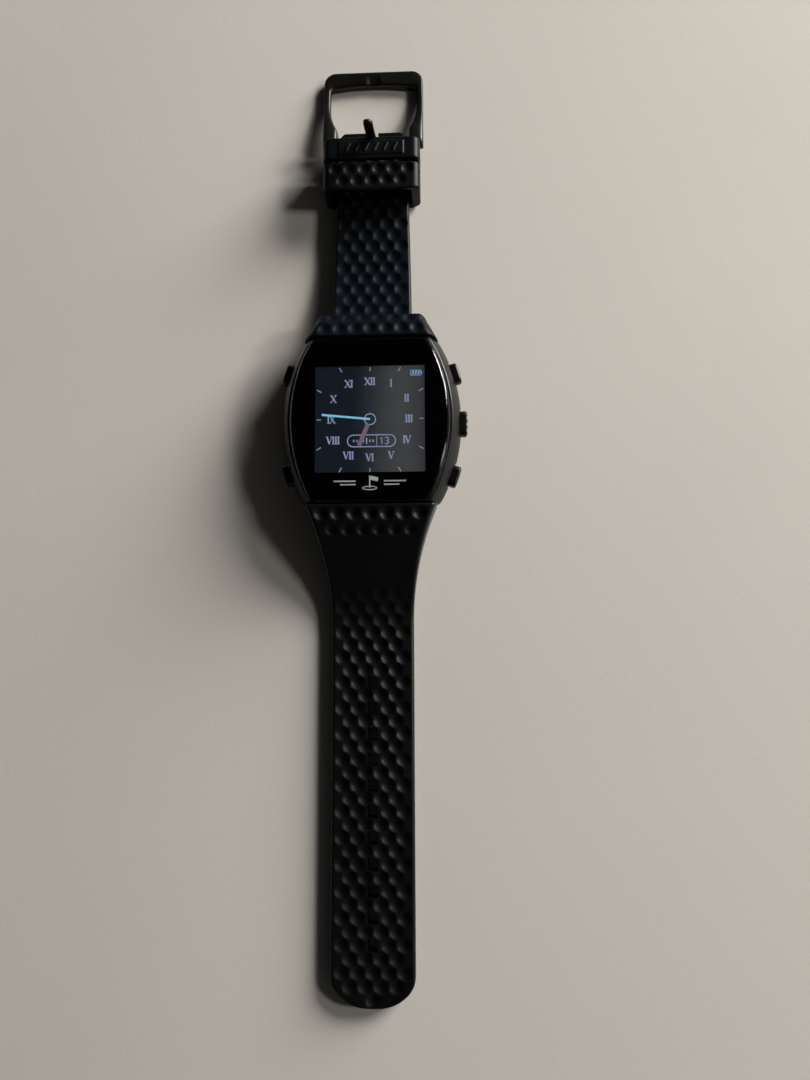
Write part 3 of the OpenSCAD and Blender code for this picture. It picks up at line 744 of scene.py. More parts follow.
@dataclass
class Dial:
    """The display: printed border, panel, numerals, hands and small marks. Sizes in millimetres."""

    width: float = 26.6
    height: float = 26.3
    numeral_radius: float = 9.45
    numeral_height: float = 1.75
    stroke: float = 0.34
    hair: float = 0.17
    lift: float = 0.02
    ring: float = 1.35
    glyphs: tuple[str, ...] = ("XII", "I", "II", "III", "IV", "V", "VI", "VII", "VIII", "IX", "X", "XI")

    def __post_init__(self) -> None:
        """Reads the panel's face from the frame."""
        self.face = float(box_mm("lcd_panel")[1][2])

    def bar(self, points: Sequence[Sequence[float]], width: float, layer: int = 1) -> Surface:
        """A thin bar through the given places, on the panel's face."""
        low = self.face + 0.005 + self.lift * (layer - 1)
        return ribbon(np.array(points, float), width, low, low + self.lift)

    def letter(self, sign: str, x: float, y: float) -> Surface:
        """One sign of a Roman numeral with serifs: I, V or X, centred at x, y."""
        h = self.numeral_height / 2
        w = {"I": 0.0, "V": 0.55, "X": 0.55}[sign]
        serif = 0.26
        if sign == "I":
            made = self.bar([(x, y - h), (x, y + h)], self.stroke)
            feet = [(x, y - h), (x, y + h)]
        elif sign == "V":
            made = (self.bar([(x - w, y + h), (x, y - h)], self.stroke)
                    + self.bar([(x + w, y + h), (x, y - h)], self.hair, 2))
            feet = [(x - w, y + h), (x + w, y + h)]
        else:
            made = (self.bar([(x - w, y + h), (x + w, y - h)], self.stroke)
                    + self.bar([(x + w, y + h), (x - w, y - h)], self.hair, 2))
            feet = [(x - w, y - h), (x + w, y - h), (x - w, y + h), (x + w, y + h)]
        for fx, fy in feet:
            made += self.bar([(fx - serif, fy), (fx + serif, fy)], self.hair, 3)
        return made

    def numeral(self, signs: str, x: float, y: float) -> Surface:
        """A Roman numeral set closely round the place x, y."""
        room = {"I": 0.62, "V": 1.3, "X": 1.35}
        total = sum(room[s] for s in signs)
        at, made = x - total / 2, None
        for sign in signs:
            one = self.letter(sign, at + room[sign] / 2, y)
            made = one if made is None else made + one
            at += room[sign]
        return made

    def numerals(self) -> Surface:
        """The twelve numerals on a rounded square, |x|^3 + |y|^3 = r^3, and the ticks along the border."""
        made = None
        for hour, signs in enumerate(self.glyphs):
            angle = math.radians(90 - 30 * hour)
            spread = (abs(math.cos(angle)) ** 3 + abs(math.sin(angle)) ** 3) ** (-1 / 3)
            x, y = (self.numeral_radius * spread * part for part in (math.cos(angle), math.sin(angle)))
            one = self.numeral(signs, x, y)
            made = one if made is None else made + one
            reach = (self.width / 2 - 0.35) / max(abs(math.cos(angle)), abs(math.sin(angle)))
            out = np.array([math.cos(angle), math.sin(angle)])
            length = 1.25 if hour % 3 else 1.0
            if hour % 6 == 0:
                length = 0.9
            made += self.bar([out * (reach - length), out * reach], 0.24)
        return made

    def arc(self, x: float, y: float, radius: float, start: float, stop: float, width: float,
            layer: int = 1) -> Surface:
        """A thin bent bar round x, y between two angles in degrees."""
        turn = np.radians(np.linspace(start, stop, 40))
        return self.bar(np.stack([x + radius * np.cos(turn), y + radius * np.sin(turn)], -1), width, layer)

    def date(self) -> Surface:
        """The date window: a pill outline with a divider, a row of week dots and the day's number."""
        x, y, half, radius, line = 0.37, -5.35, 4.35, 1.45, 0.24
        made = self.bar([(x - half, y + radius), (x + half, y + radius)], line)
        made += self.bar([(x - half, y - radius), (x + half, y - radius)], line)
        made += self.arc(x + half, y, radius, -90, 90, line, 1)
        made += self.arc(x - half, y, radius, 90, 270, line, 1)
        made += self.bar([(x + 1.25, y - radius), (x + 1.25, y + radius)], 0.14)
        for day in range(7):
            tall = 0.75 if day == 4 else 0.3
            made += self.bar([(x - 4.3 + 0.78 * day, y - tall), (x - 4.3 + 0.78 * day, y + tall)], 0.3)
        digit = x + 2.5
        made += self.bar([(digit - 0.35, y + 0.45), (digit, y + 0.8), (digit, y - 0.8)], 0.22)
        made += self.arc(digit + 1.2, y + 0.4, 0.42, 150, -90, 0.22, 1)
        made += self.arc(digit + 1.2, y - 0.4, 0.42, 90, -150, 0.22, 1)
        return made

    def build(self) -> None:
        """Makes the panel's face, the printed border and every mark on the display."""
        panel = frame["nodes"]["lcd_panel"]
        panel.data.materials.clear()
        panel.data.materials.append(LcdPaintedGlow().make())
        marks = self.numerals() + self.date() + self.arc(0, 0, self.ring, 0, 360, 0.26)
        self.add("dial_marks", marks, MARKS)
        minute, hour = math.radians(174), math.radians(248)
        for name, angle, reach, width, finish in (
                ("dial_hour_hand", hour, 7.1, 1.05, HOUR), ("dial_minute_hand", minute, 11.8, 0.52, MINUTE)):
            out = np.array([math.cos(angle), math.sin(angle)])
            start = 0.0 if finish is MINUTE else self.ring
            self.add(name, self.bar([out * start, out * reach], width, 6 if finish is MINUTE else 5), finish)
        self.add("dial_battery_mark", self.battery_mark(), CHARGE)
        self.border()
        self.emblem()

    def battery_mark(self) -> Surface:
        """A battery with its outline, its knob and three slanting bars of charge."""
        left, right, y, tall, line = 9.9, 12.4, 11.4, 0.62, 0.16
        corners = [(left, y - tall), (right, y - tall), (right, y + tall), (left, y + tall), (left, y - tall)]
        made = self.bar([(right + 0.16, y - 0.26), (right + 0.16, y + 0.26)], 0.3)
        for start, end in zip(corners, corners[1:]):
            made += self.bar([start, end], line)
        for bar in range(3):
            x = left + 0.55 + 0.68 * bar
            made += self.bar([(x - 0.1, y - 0.42), (x + 0.18, y + 0.42)], 0.42)
        return made

    def add(self, name: str, surface: Surface, finish: Finish) -> None:
        """Makes a mark that rides on the head."""
        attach(piece(name, surface, finish.make()), "head")

    def border(self) -> None:
        """The black print under the glass: a thin tonneau plate with a square window."""
        low, high = box_mm("front_glass")
        around = 720
        outer = tonneau(high[0] - 0.45, 41.1, high[1] - 0.4, around)
        angle = np.arctan2(outer[:, 1], outer[:, 0])
        reach = np.minimum(self.width / 2 / np.maximum(np.abs(np.cos(angle)), 1e-9),
                           self.height / 2 / np.maximum(np.abs(np.sin(angle)), 1e-9))
        inner = np.stack([reach * np.cos(angle), reach * np.sin(angle)], -1)
        z = low[2] + 0.005
        rings = stack([outer, outer, inner, inner], [z, z + 0.025, z + 0.025, z])
        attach(piece("glass_printed_border", loft(rings, wrap=True), MASK.make()), "head")

    def emblem(self) -> None:
        """A plain golf flag between two pairs of lines, printed under the glass below the display; its finish glows
        with painted light.
        """
        z, y = box_mm("front_glass")[0][2] + 0.04, -15.6
        made = ribbon(np.array([(0.0, y - 1.3), (0.0, y + 1.6)]), 0.3, z, z + 0.01)
        flag = np.array([(0.15, y + 1.1), (1.0, y + 0.9), (2.0, y + 0.7)])
        made += ribbon(flag, 0.95, z + 0.012, z + 0.022)
        turn = np.radians(np.linspace(0, 360, 40))
        green = np.stack([1.7 * np.cos(turn), y - 1.3 + 0.42 * np.sin(turn)], -1)
        made += ribbon(green, 0.22, z + 0.024, z + 0.034)
        for side in (-1, 1):
            made += ribbon(np.array([(side * 3.4, y + 0.35), (side * 8.7, y + 0.35)]), 0.3, z, z + 0.01)
            made += ribbon(np.array([(side * 3.4, y - 0.45), (side * 7.1, y - 0.45)]), 0.3, z, z + 0.01)
        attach(piece("glass_flag_print", made, EMBLEM.make()), "head")


# ---------------------------------------------------------------- strap

@dataclass(frozen=True)
class Dimples:
    """Round hollows pressed into a face: centres, radii and depths as arrays, in millimetres."""

    x: np.ndarray
    d: np.ndarray
    radius: np.ndarray
    depth: np.ndarray

    def __add__(self, other: "Dimples") -> "Dimples":
        """Both sets together."""
        return Dimples(*(np.concatenate(pair) for pair in (
            (self.x, other.x), (self.d, other.d), (self.radius, other.radius), (self.depth, other.depth))))

    def sunk(self, x: np.ndarray, d: np.ndarray) -> np.ndarray:
        """Depth below the face at each place of a grid: depth * (1 - (r/R)^2)^1.25 inside each dimple."""
        result = np.zeros(x.shape)
        for cx, cd, radius, depth in zip(self.x, self.d, self.radius, self.depth):
            rows = (np.abs(d[:, 0] - cd) <= radius).nonzero()[0]
            if len(rows):
                part = slice(rows[0], rows[-1] + 1)
                inside = 1.0 - ((x[part] - cx) ** 2 + (d[part] - cd) ** 2) / radius**2
                result[part] = np.maximum(result[part], depth * np.maximum(inside, 0.0) ** 1.25)
        return result


def dimple_row(count: int, pitch: float, d: float, radius: float, depth: float, skip: float = -1.0,
               room: float = np.inf) -> Dimples:
    """A row of equal dimples centred on the strap.

    Args:
        count: how many there would be.
        pitch: distance between them.
        d: the row's distance from the case's middle.
        radius, depth: their size.
        skip: leaves out those whose centre is this near to the middle.
        room: leaves out those that reach past this distance from the middle.

    Returns:
        The dimples.
    """
    x = (np.arange(count) - (count - 1) / 2) * pitch
    x = x[(np.abs(x) > skip) & (np.abs(x) + radius < room)]
    return Dimples(x, np.full(len(x), d), np.full(len(x), radius), np.full(len(x), depth))


@dataclass
class StrapHalf:
    """One half of the strap: a plate with round borders, pressed dimples and tongue slots.

    d is the distance from the case's middle, along +Y for the short half and -Y for the long one.
    """

    name: str
    way: float
    tip: float
    cuts: tuple[float, ...]
    bodies: tuple[str, ...]
    joints: tuple[str, ...]
    nodes: tuple[tuple[str, ...], ...]
    finish: Finish
    slot: str
    width: float = 20.0
    thick: float = 3.4
    case_end: float = 20.6
    start: float = 20.65
    spread: float = 4.4
    pitch: float = 3.7
    row: float = 3.025
    radius: float = 1.84
    depth: float = 0.55
    slot_w: float = 2.4
    slot_l: float = 3.1
    under_edge: tuple[float, float] = (0.6, 0.5)
    step: float = 0.24
    clearance: float = 0.08
    across: int = 79

    def half(self, d: np.ndarray) -> np.ndarray:
        """Half width at each distance."""
        raise NotImplementedError

    def top(self, d: np.ndarray) -> np.ndarray:
        """Height of the upper face at each distance, without dimples."""
        raise NotImplementedError

    def bottom(self, d: np.ndarray) -> np.ndarray:
        """Height of the underside at each distance."""
        raise NotImplementedError

    def border(self, d: np.ndarray) -> tuple[np.ndarray, np.ndarray]:
        """Width and drop of the round border along both edges."""
        raise NotImplementedError

    def dimples(self) -> Dimples:
        """Every dimple of this half."""
        raise NotImplementedError

    def slots(self) -> np.ndarray:
        """Distances of the tongue slots."""
        return np.zeros(0)

    def stations(self) -> np.ndarray:
        """Distances of the grid's rows: even, closer at both ends, and one at each cut and slot edge."""
        even = np.arange(self.start, self.tip, self.step)
        lip = self.start + 0.7 * (1 - np.cos(np.linspace(0, math.pi / 2, 7)))
        end = self.tip - 2.0 * (1 - np.cos(np.linspace(0, math.pi / 2, 14)))
        edges = (self.slots()[:, None] + np.array([-0.5, 0.5]) * self.slot_l).ravel()
        fixed = np.concatenate([lip, end, self.cuts, edges])
        near = np.min(np.abs(even[:, None] - fixed[None, :]), 1)
        return np.unique(np.round(np.concatenate([even[near > self.clearance], fixed]), 4))

    @staticmethod
    def pull(x: np.ndarray, row: int, reach: float, weight: np.ndarray) -> None:
        """Moves two of the grid's columns onto both sides of a slot.

        Args:
            x: the columns' places, changed in place.
            row: the row in which the nearest columns are picked.
            reach: half of the slot's width.
            weight: how far each row's points move, from 0 to 1.
        """
        for target in (-reach, reach):
            nearest = int(np.argmin(np.abs(x[row] - target)))
            x[:, nearest] += weight * (target - x[:, nearest])

    def grid(self) -> tuple[np.ndarray, ...]:
        """Places, heights and filled cells of the whole half.

        Columns lie at fixed shares of the border and, between the borders, at even shares of the rest.
        Near each edge the upper face drops by drop * (1 - sqrt(1 - (1 - t)^2)), t being the share of
        the border's width.

        Returns:
            Arrays of x, d, upper height and lower height, and one that is True for each filled cell.
        """
        d = self.stations()[:, None]
        half = self.half(d)
        wide, drop = self.border(d)
        wide = np.minimum(wide, 0.6 * half)
        left = -half + wide * (1 - np.cos(np.linspace(0, math.pi / 2, 9)))[None, :]
        inner = np.linspace(-1, 1, self.across)[None, 1:-1]
        x = np.hstack([left, inner * (half - wide), -left[:, ::-1]])
        slots = self.slots()
        if len(slots):
            weight = smooth_step((d[:, 0] - slots[0] + 12) / 9) * (half[:, 0] > 6)
            self.pull(x, len(x) // 2, self.slot_w / 2, weight)
        inside = half - np.abs(x)
        dd = np.broadcast_to(d, x.shape)
        fillet = rounding(1 - inside / np.maximum(wide, 1e-6))
        top = self.top(dd) - drop * fillet - self.dimples().sunk(x, dd)
        edge_w, edge_h = self.under_edge
        bottom = self.bottom(dd) + edge_h * rounding(1 - inside / edge_w)
        mid_x, mid_d = cell_middles(x), cell_middles(dd)
        solid = np.ones(mid_x.shape, bool)
        for at in slots:
            solid &= ~((np.abs(mid_x) < self.slot_w / 2) & (np.abs(mid_d - at) < self.slot_l / 2))
        return x, dd, top, bottom, solid

    def build(self) -> None:
        """Cuts the half between its bend lines into one piece for each joint, and hides the CAD nodes it replaces.
        """
        x, d, top, bottom, solid = self.grid()
        limits = (self.start, *self.cuts, self.tip)
        material = self.finish.make()
        for i, joint in enumerate(self.joints):
            rows = np.nonzero((d[:, 0] >= limits[i] - 1e-3) & (d[:, 0] <= limits[i + 1] + 1e-3))[0]
            part = slice(rows[0], rows[-1] + 1)
            surface = plate(x[part], self.way * d[part], top[part], bottom[part], solid[rows[0]:rows[-1]])
            made = piece(f"{self.name}_{i + 1}", surface, material, RUBBER_CREASE)
            bend = joint_mm(joint)
            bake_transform(made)
            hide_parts(*self.nodes[i])


def cell_middles(values: np.ndarray) -> np.ndarray:
    """The middle of each grid cell, from two opposite corners."""
    return (values[:-1, :-1] + values[1:, 1:]) / 2


@dataclass
class ShortStrap(StrapHalf):
    """The buckle half: a raised shoulder against the case, then a strap that slopes down to the table."""

    name: str = "strap_short"
    way: float = 1.0
    tip: float = 79.2
    cuts: tuple[float, ...] = (35.0, 45.0)
    bodies: tuple[str, ...] = ("head", "short_first", "short_second", "short_end")
    joints: tuple[str, ...] = ("band_short_lug", "band_short_curl", "band_short_curl_b")
    nodes: tuple[tuple[str, ...], ...] = (
        ("strap_short_lug_end", "strap_short_first"), ("strap_short_second",), ("strap_short_buckle_end",))
    finish: Finish = NAVY_RUBBER
    slot: str = "strap_rubber_navy"
    shoulder_half: float = 16.64
    shoulder_end: float = 27.6
    shoulder_lean: float = 28.3
    shoulder_corner: float = 4.2
    shoulder_top: float = 12.75
    seat: float = 1.5
    rise: float = 3.0
    rise_from: float = 27.0
    rise_length: float = 21.0
    tongue_half: float = 1.5
    tongue_slot: float = 75.2

    def half(self, d: np.ndarray) -> np.ndarray:
        """Sides that lean in from the case to round corners, the narrowing strap and a chamfered end."""
        lean, corner = math.radians(self.shoulder_lean), self.shoulder_corner
        slant = self.shoulder_half - math.tan(lean) * (d - self.case_end)
        from_centre = np.clip(d - self.shoulder_end + corner, 0, corner)
        to_corner = self.shoulder_end - corner - self.case_end
        centre = self.shoulder_half - math.tan(lean) * to_corner - corner / math.cos(lean)
        arc = centre + np.sqrt(corner**2 - from_centre**2)
        shoulder = np.where(from_centre > corner * math.sin(lean), arc, slant)
        taper, chamfer = np.clip((d - 30) / 28, 0, 1), np.clip((d - 77.0) / 2.2, 0, 1)
        strap = self.width / 2 - 0.6 * taper - 1.8 * chamfer
        return np.maximum(np.where(d < self.shoulder_end, shoulder, 0), strap)

    def slope(self, d: np.ndarray) -> np.ndarray:
        """A parabola down to the height at which the keepers carry the strap."""
        return self.seat + self.rise * (1 - np.clip((d - self.rise_from) / self.rise_length, 0, 1)) ** 2

    def bottom(self, d: np.ndarray) -> np.ndarray:
        """The slope, a little lower under the shoulder."""
        return self.slope(d) - 1.2 * smooth_step((self.rise_from - d) / 2)

    def top(self, d: np.ndarray) -> np.ndarray:
        """The strap's face, and above it the shoulder with a round lip against the glass."""
        shoulder = self.shoulder_top - 2.6 * ((d - self.start) / 7) ** 2
        shoulder = shoulder - 0.45 * rounding(1 - (d - self.start) / 0.45)
        strap = self.slope(d) + self.thick - 0.5 * rounding(1 - (self.tip - d) / 0.6)
        return strap + (shoulder - strap) * smooth_step((self.shoulder_end + 0.15 - d) / 0.9)

    def border(self, d: np.ndarray) -> tuple[np.ndarray, np.ndarray]:
        """Wide and deep beside the case, narrow and shallow along the strap."""
        share = smooth_step((self.shoulder_end - d) / 2.5)
        return 0.7 + 1.9 * share, 0.65 + (self.top(d) - 7.9) * share * 0.9

    def dimples(self) -> Dimples:
        """Two rows on the shoulder, then rows of five and four in turn down to the keepers."""
        made = dimple_row(7, 3.8, 22.75, 1.7, 0.5) + dimple_row(6, 3.8, 25.6, 1.5, 0.42)
        for i, at in enumerate(np.arange(self.shoulder_end + 1.9, 74.0, self.row)):
            made += dimple_row(5 - i % 2, self.pitch, at, self.radius, 0.8 * self.depth)
        return made

    def grid(self) -> tuple[np.ndarray, ...]:
        """As for any half, with the tongue's open slot cut into the end."""
        x, d, top, bottom, solid = super().grid()
        self.pull(x, len(x) - 5, self.tongue_half, d[:, 0] > 70)
        solid &= ~((np.abs(cell_middles(x)) < self.tongue_half) & (cell_middles(d) > self.tongue_slot))
        return x, d, top, bottom, solid


@dataclass
class LongStrap(StrapHalf):
    """The half with the tongue slots: flared against the case, then flat on the table to a round tip."""

    name: str = "strap_long"
    way: float = -1.0
    tip: float = 138.0
    cuts: tuple[float, ...] = (47.65, 67.85, 87.5, 105.65)
    bodies: tuple[str, ...] = ("head", "long_first", "long_second", "long_third", "long_fourth", "long_tip")
    joints: tuple[str, ...] = (
        "band_long_lug", "band_long_curl", "band_long_curl_b", "band_long_curl_c", "band_long_curl_d")
    nodes: tuple[tuple[str, ...], ...] = (
        ("strap_long_lug_end", "strap_long_first"), ("strap_long_second",), ("strap_long_third",),
        ("strap_long_fourth",), ("strap_long_tip",))
    finish: Finish = RUBBER
    slot: str = "strap_rubber"
    spread: float = 8.2
    flare: float = 5.9
    flare_length: float = 28.0
    rise: float = 9.3
    lift: float = 3.0
    tip_round: float = 7.0
    first_slot: float = 63.3
    slot_count: int = 11
    seam_at: float = 31.2
    seam: float = 0.14

    def half(self, d: np.ndarray) -> np.ndarray:
        """A flare that falls as the square of the distance left, then half an ellipse at the tip."""
        flare = self.flare * (1 - np.clip((d - self.case_end) / self.flare_length, 0, 1)) ** 2
        past = np.clip((d - self.tip + self.tip_round) / self.tip_round, 0, 1)
        return (self.width / 2 + flare) * np.sqrt(np.maximum(1 - past**2, 0.0008))

    def top(self, d: np.ndarray) -> np.ndarray:
        """Half a cosine wave from the glass down to the strap, with a round lip, a seam and a round tip."""
        face = self.thick + self.rise * fall((d - 17) / 33)
        seam = self.seam * np.exp(-(((d - self.seam_at) / 0.3) ** 2))
        return (face - seam - 0.55 * rounding(1 - (d - self.start) / 0.7)
                - 0.8 * rounding(1 - (self.tip - d) / 0.9))

    def bottom(self, d: np.ndarray) -> np.ndarray:
        """Half a cosine wave from under the case down to the table."""
        return self.lift * fall((d - 24) / 24)

    def border(self, d: np.ndarray) -> tuple[np.ndarray, np.ndarray]:
        """A little wider beside the case than along the strap."""
        share = smooth_step((44 - d) / 23)
        return 0.7 + 0.35 * share, 0.65 + 0.6 * share

    def slots(self) -> np.ndarray:
        """Evenly spaced, two rows of dimples apart."""
        return self.first_slot + 2 * self.row * np.arange(self.slot_count)

    def dimples(self) -> Dimples:
        """Two rows beside the case, a smooth stretch, then rows of four and five that grow to full depth."""
        made = dimple_row(7, 3.95, 23.0, 1.75, 0.7) + dimple_row(6, 3.8, 26.8, 1.45, 0.5)
        for i, at in enumerate(np.arange(self.first_slot - 7 * self.row, self.tip - 1.8, self.row)):
            has_slot = i % 2 == 1 and self.first_slot - 1 < at < self.slots()[-1] + 1
            room = float(self.half(np.array(min(at + 1.2, self.tip)))) - 0.5
            made += dimple_row(4 + i % 2, self.pitch, at, self.radius, self.depth * min(1.0, 0.3 + 0.2 * i),
                               skip=0.5 if has_slot else -1.0, room=room)
        return made


# ---------------------------------------------------------------- keepers and buckle

class KeeperTop(Enum):
    """What is moulded on top of a keeper."""

    BARS = "slanting bars on a raised panel"
    DIMPLES = "two rows of dimples"


@dataclass
class Keeper:
    """A rubber loop round the strap, with round edges and its own pattern on top. Sizes in millimetres."""

    name: str
    node: str
    body: str
    top: KeeperTop
    hole_width: float
    hole_low: float
    hole_high: float = 9.2
    bow: float = 0.0
    height: float = 10.3
    corner: float = 1.9
    edge: float = 0.5
    around: int = 420

    def __post_init__(self) -> None:
        """Reads the CAD loop's box."""
        self.low, self.high = box_mm(self.node)

    def ring(self, width: float, low: float, high: float, corner: float, y: float) -> np.ndarray:
        """A round box in the plane of one Y."""
        line = round_box(width, high - low, corner, self.around) + [0.0, (high + low) / 2]
        return np.column_stack([line[:, 0], np.full(self.around, y), line[:, 1]])

    def surface(self) -> Surface:
        """The loop's section carried along Y, its outer edges rounded, and joined to the inner wall.

        The head-side edge is bowed by bow * (1 - (x / half)^2). On top the pattern moves points in Z.
        """
        near, far = self.low[1], self.high[1]
        width = self.high[0] - self.low[0]
        ease = [(self.edge * (1 - math.sin(t)), self.edge * (1 - math.cos(t)))
                for t in np.linspace(0, math.pi / 2, 6)]
        stations = [(near + along, inset) for inset, along in ease]
        stations += [(y, 0.0) for y in np.linspace(near + self.edge, far - self.edge, 40)[1:-1]]
        stations += [(far - along, inset) for inset, along in reversed(ease)]
        rings = [self.ring(width - 2 * inset, inset, self.height - inset, self.corner, y)
                 for y, inset in stations]
        rings += [self.ring(self.hole_width, self.hole_low, self.hole_high, 0.5, y)
                  for y in (far - 0.1, near + 0.1)]
        return loft(np.stack(rings), wrap=True).moved(self.pattern)

    def dimples(self, x: np.ndarray, y: np.ndarray) -> np.ndarray:
        """Depth of two rows of dimples, six and five."""
        depth = np.zeros(x.shape)
        for row in range(2):
            for k in range(6 - row):
                cx, cy = (k - (5 - row) / 2) * 3.7, self.high[1] - 2.0 - 3.05 * row
                inside = 1 - ((x - cx) ** 2 + (y - cy) ** 2) / 1.6**2
                depth += 0.5 * np.maximum(inside, 0) ** 1.25
        return depth

    def bars(self, x: np.ndarray, y: np.ndarray) -> np.ndarray:
        """Height of a raised panel with slanting bars on it."""
        across = y - (self.low[1] + self.high[1]) / 2
        panel = smooth_step(-rect_distance(x, across, 17.0, 4.1, 0.5) / 0.35)
        bar = smooth_step((0.5 - np.abs((x - 0.45 * across + 60) % 2.4 - 1.2)) / 0.25)
        within = smooth_step(-rect_distance(x, across, 14.6, 2.5, 0.3) / 0.3)
        return 0.22 * panel + 0.2 * bar * within

    def pattern(self, points: np.ndarray) -> np.ndarray:
        """Bows the head-side edge and moulds the pattern on top."""
        x, y, z = points.T
        share = np.clip((self.high[1] - y) / (self.high[1] - self.low[1]), 0, 1)
        y = y - self.bow * (1 - (x / self.high[0]) ** 2) * share * (z > 5)
        lift = self.bars(x, y) if self.top is KeeperTop.BARS else -self.dimples(x, y)
        return np.column_stack([x, y, z + lift * (z > 10.0)])

    def build(self) -> None:
        """Makes the loop and lets it stand for its CAD node."""
        made = piece(self.name, self.surface(), NAVY_RUBBER.make(), RUBBER_CREASE)
        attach(made, self.body)
        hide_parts(self.node)


@dataclass
class Buckle:
    """The buckle frame, its tongue and its pin. Sizes in millimetres."""

    hub: float = 1.9
    bar_depth: float = 4.0
    bar_thick: float = 2.4
    arm: float = 1.75
    corner: float = 3.2
    arch: float = 0.9
    notch: float = 0.3
    eye: float = 1.5
    tongue_length: float = 17.5
    tongue_lean: float = 107.0

    def __post_init__(self) -> None:
        """Reads the pin's place and the frame's box."""
        self.pin = joint_mm("buckle_swing")
        self.low, self.high = box_mm("buckle_frame")

    def frame_surface(self) -> Surface:
        """A bar with a rounded section carried round the U from one hub to the other.

        At each station the section runs between an outer and an inner place in plan, and its height
        follows the hub's circle near the pin and the sloping bar after it. The section is the
        superellipse |a|^n + |b|^n = 1.
        """
        outer = self.outline(self.high[0], self.high[1], self.corner)
        inner = self.inner_edge()
        y = outer[:, 1]
        back = np.clip((self.pin[1] - y) / self.hub, 0, 0.985)
        along = np.clip((y - self.pin[1]) / (self.high[1] - self.pin[1]), 0, 1)
        half = self.bar_thick / 2
        middle = self.pin[2] + (half - self.pin[2]) * smooth_step(along * 1.25)
        height = np.where(y < self.pin[1], self.hub * np.sqrt(1 - back**2),
                          self.hub + (half - self.hub) * smooth_step(along * 1.6))
        a, b = self.section(40, 0.5)
        centre, reach = (outer + inner) / 2, (outer - inner) / 2
        plan = centre[:, None, :] + reach[:, None, :] * a[None, :, None]
        z = middle[:, None] + height[:, None] * b[None, :]
        rest = smooth_step((2.1 - np.abs(plan[..., 0])) / 1.4) * smooth_step((96.9 - plan[..., 1]) / 0.5)
        z = z - self.notch * rest * (b[None, :] > 0) * (plan[..., 1] > 90)
        return loft(np.concatenate([plan, z[..., None]], -1))

    @staticmethod
    def section(around: int, power: float) -> tuple[np.ndarray, np.ndarray]:
        """A superellipse of half size 1: both coordinates of a circle, each raised to a power."""
        a, b = circle(around).T
        return np.sign(a) * np.abs(a) ** power, np.sign(b) * np.abs(b) ** power

    def outline(self, half: float, far: float, corner: float) -> np.ndarray:
        """The U in plan: up one arm, round a corner, along the crossbar and back."""
        near = self.pin[1] - self.hub
        turn = np.linspace(0, math.pi / 2, 26)
        arm = np.linspace(near, far - corner, 60)
        right = np.column_stack([np.full(60, half), arm])
        round_part = corner * np.column_stack([np.cos(turn), np.sin(turn)])
        bend = (round_part + [half - corner, far - corner])[1:]
        bar = np.column_stack([np.linspace(half - corner, 0, 50), np.full(50, far)])[1:]
        quarter = np.vstack([right, bend, bar])
        return np.vstack([quarter, (quarter * [-1, 1])[::-1][1:]])

    def inner_edge(self) -> np.ndarray:
        """The opening's edge, matched point by point to the outer one, with an arch and gussets."""
        half = self.high[0] - self.arm
        far = self.high[1] - self.bar_depth
        path = self.outline(half, far, 1.0)
        far_part = path[:, 1] > far - 2.5
        path[:, 1] = np.where(far_part, path[:, 1] - self.arch * (path[:, 0] / half) ** 2, path[:, 1])
        lobe = 2.1 * np.clip(1 - (path[:, 1] - self.pin[1] - 3.1) / 8, 0, 1) ** 2
        path[:, 0] -= np.sign(path[:, 0]) * lobe
        return path

    def tongue_surface(self) -> Surface:
        """The tongue: an eye round the pin and a shank that thins to a rounded tip, leaning as in the CAD."""
        t = np.linspace(0, 1, 60)
        closing = np.sqrt(np.clip(1 - np.clip((t - 0.95) / 0.05, 0, 0.98) ** 2, 0.03, 1))
        thick = np.where(t < 0.08, self.eye, 0.62 + 0.88 * fall(t / 0.16)) * closing
        opening = self.eye / 2 * (1 + np.sin(np.clip(t / 0.05, 0, 1) * math.pi / 2))
        thick = np.where(t < 0.05, opening, thick)
        wide = 1.15 * np.sqrt(np.clip(1 - np.clip((t - 0.93) / 0.07, 0, 0.95) ** 2, 0.05, 1))
        a, b = self.section(28, 0.55)
        along = t * self.tongue_length - 1.45 * (1 - np.clip(t / 0.04, 0, 1))
        bend = 0.35 * np.sin(t * math.pi)
        lean = math.radians(self.tongue_lean)
        ahead = np.array([0.0, math.cos(lean), math.sin(lean)])
        up = np.array([0.0, -math.sin(lean), math.cos(lean)])
        return loft(self.pin + along[:, None, None] * ahead
                    + (bend[:, None, None] + thick[:, None, None] * b[None, :, None]) * up
                    + wide[:, None, None] * a[None, :, None] * np.array([1.0, 0.0, 0.0]))

    def pin_surface(self) -> Surface:
        """The pin through both arms, with a small round at each end."""
        half, section = self.high[0], circle(32)
        ends = ((-half - 0.02, 0.5), (-half + 0.15, 0.74), (half - 0.15, 0.74), (half + 0.02, 0.5))
        rings = [np.column_stack([np.full(len(section), x), self.pin[1:] + r * section]) for x, r in ends]
        return loft(np.stack(rings))

    def build(self) -> None:
        """Makes the three pieces."""
        black = "buckle_black"
        for name, surface, finish, body, node, slot in (
                ("buckle_frame_polished", self.frame_surface(), BUCKLE, "buckle", "buckle_frame", black),
                ("buckle_pin_rod", self.pin_surface(), STEEL, "buckle", "buckle_pin", "steel"),
                ("buckle_tongue_bent", self.tongue_surface(), BUCKLE, "tongue", "buckle_tongue", black)):
            made = piece(name, surface, finish.make())
            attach(made, body)
            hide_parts(node)


# ---------------------------------------------------------------- inner pieces, stage

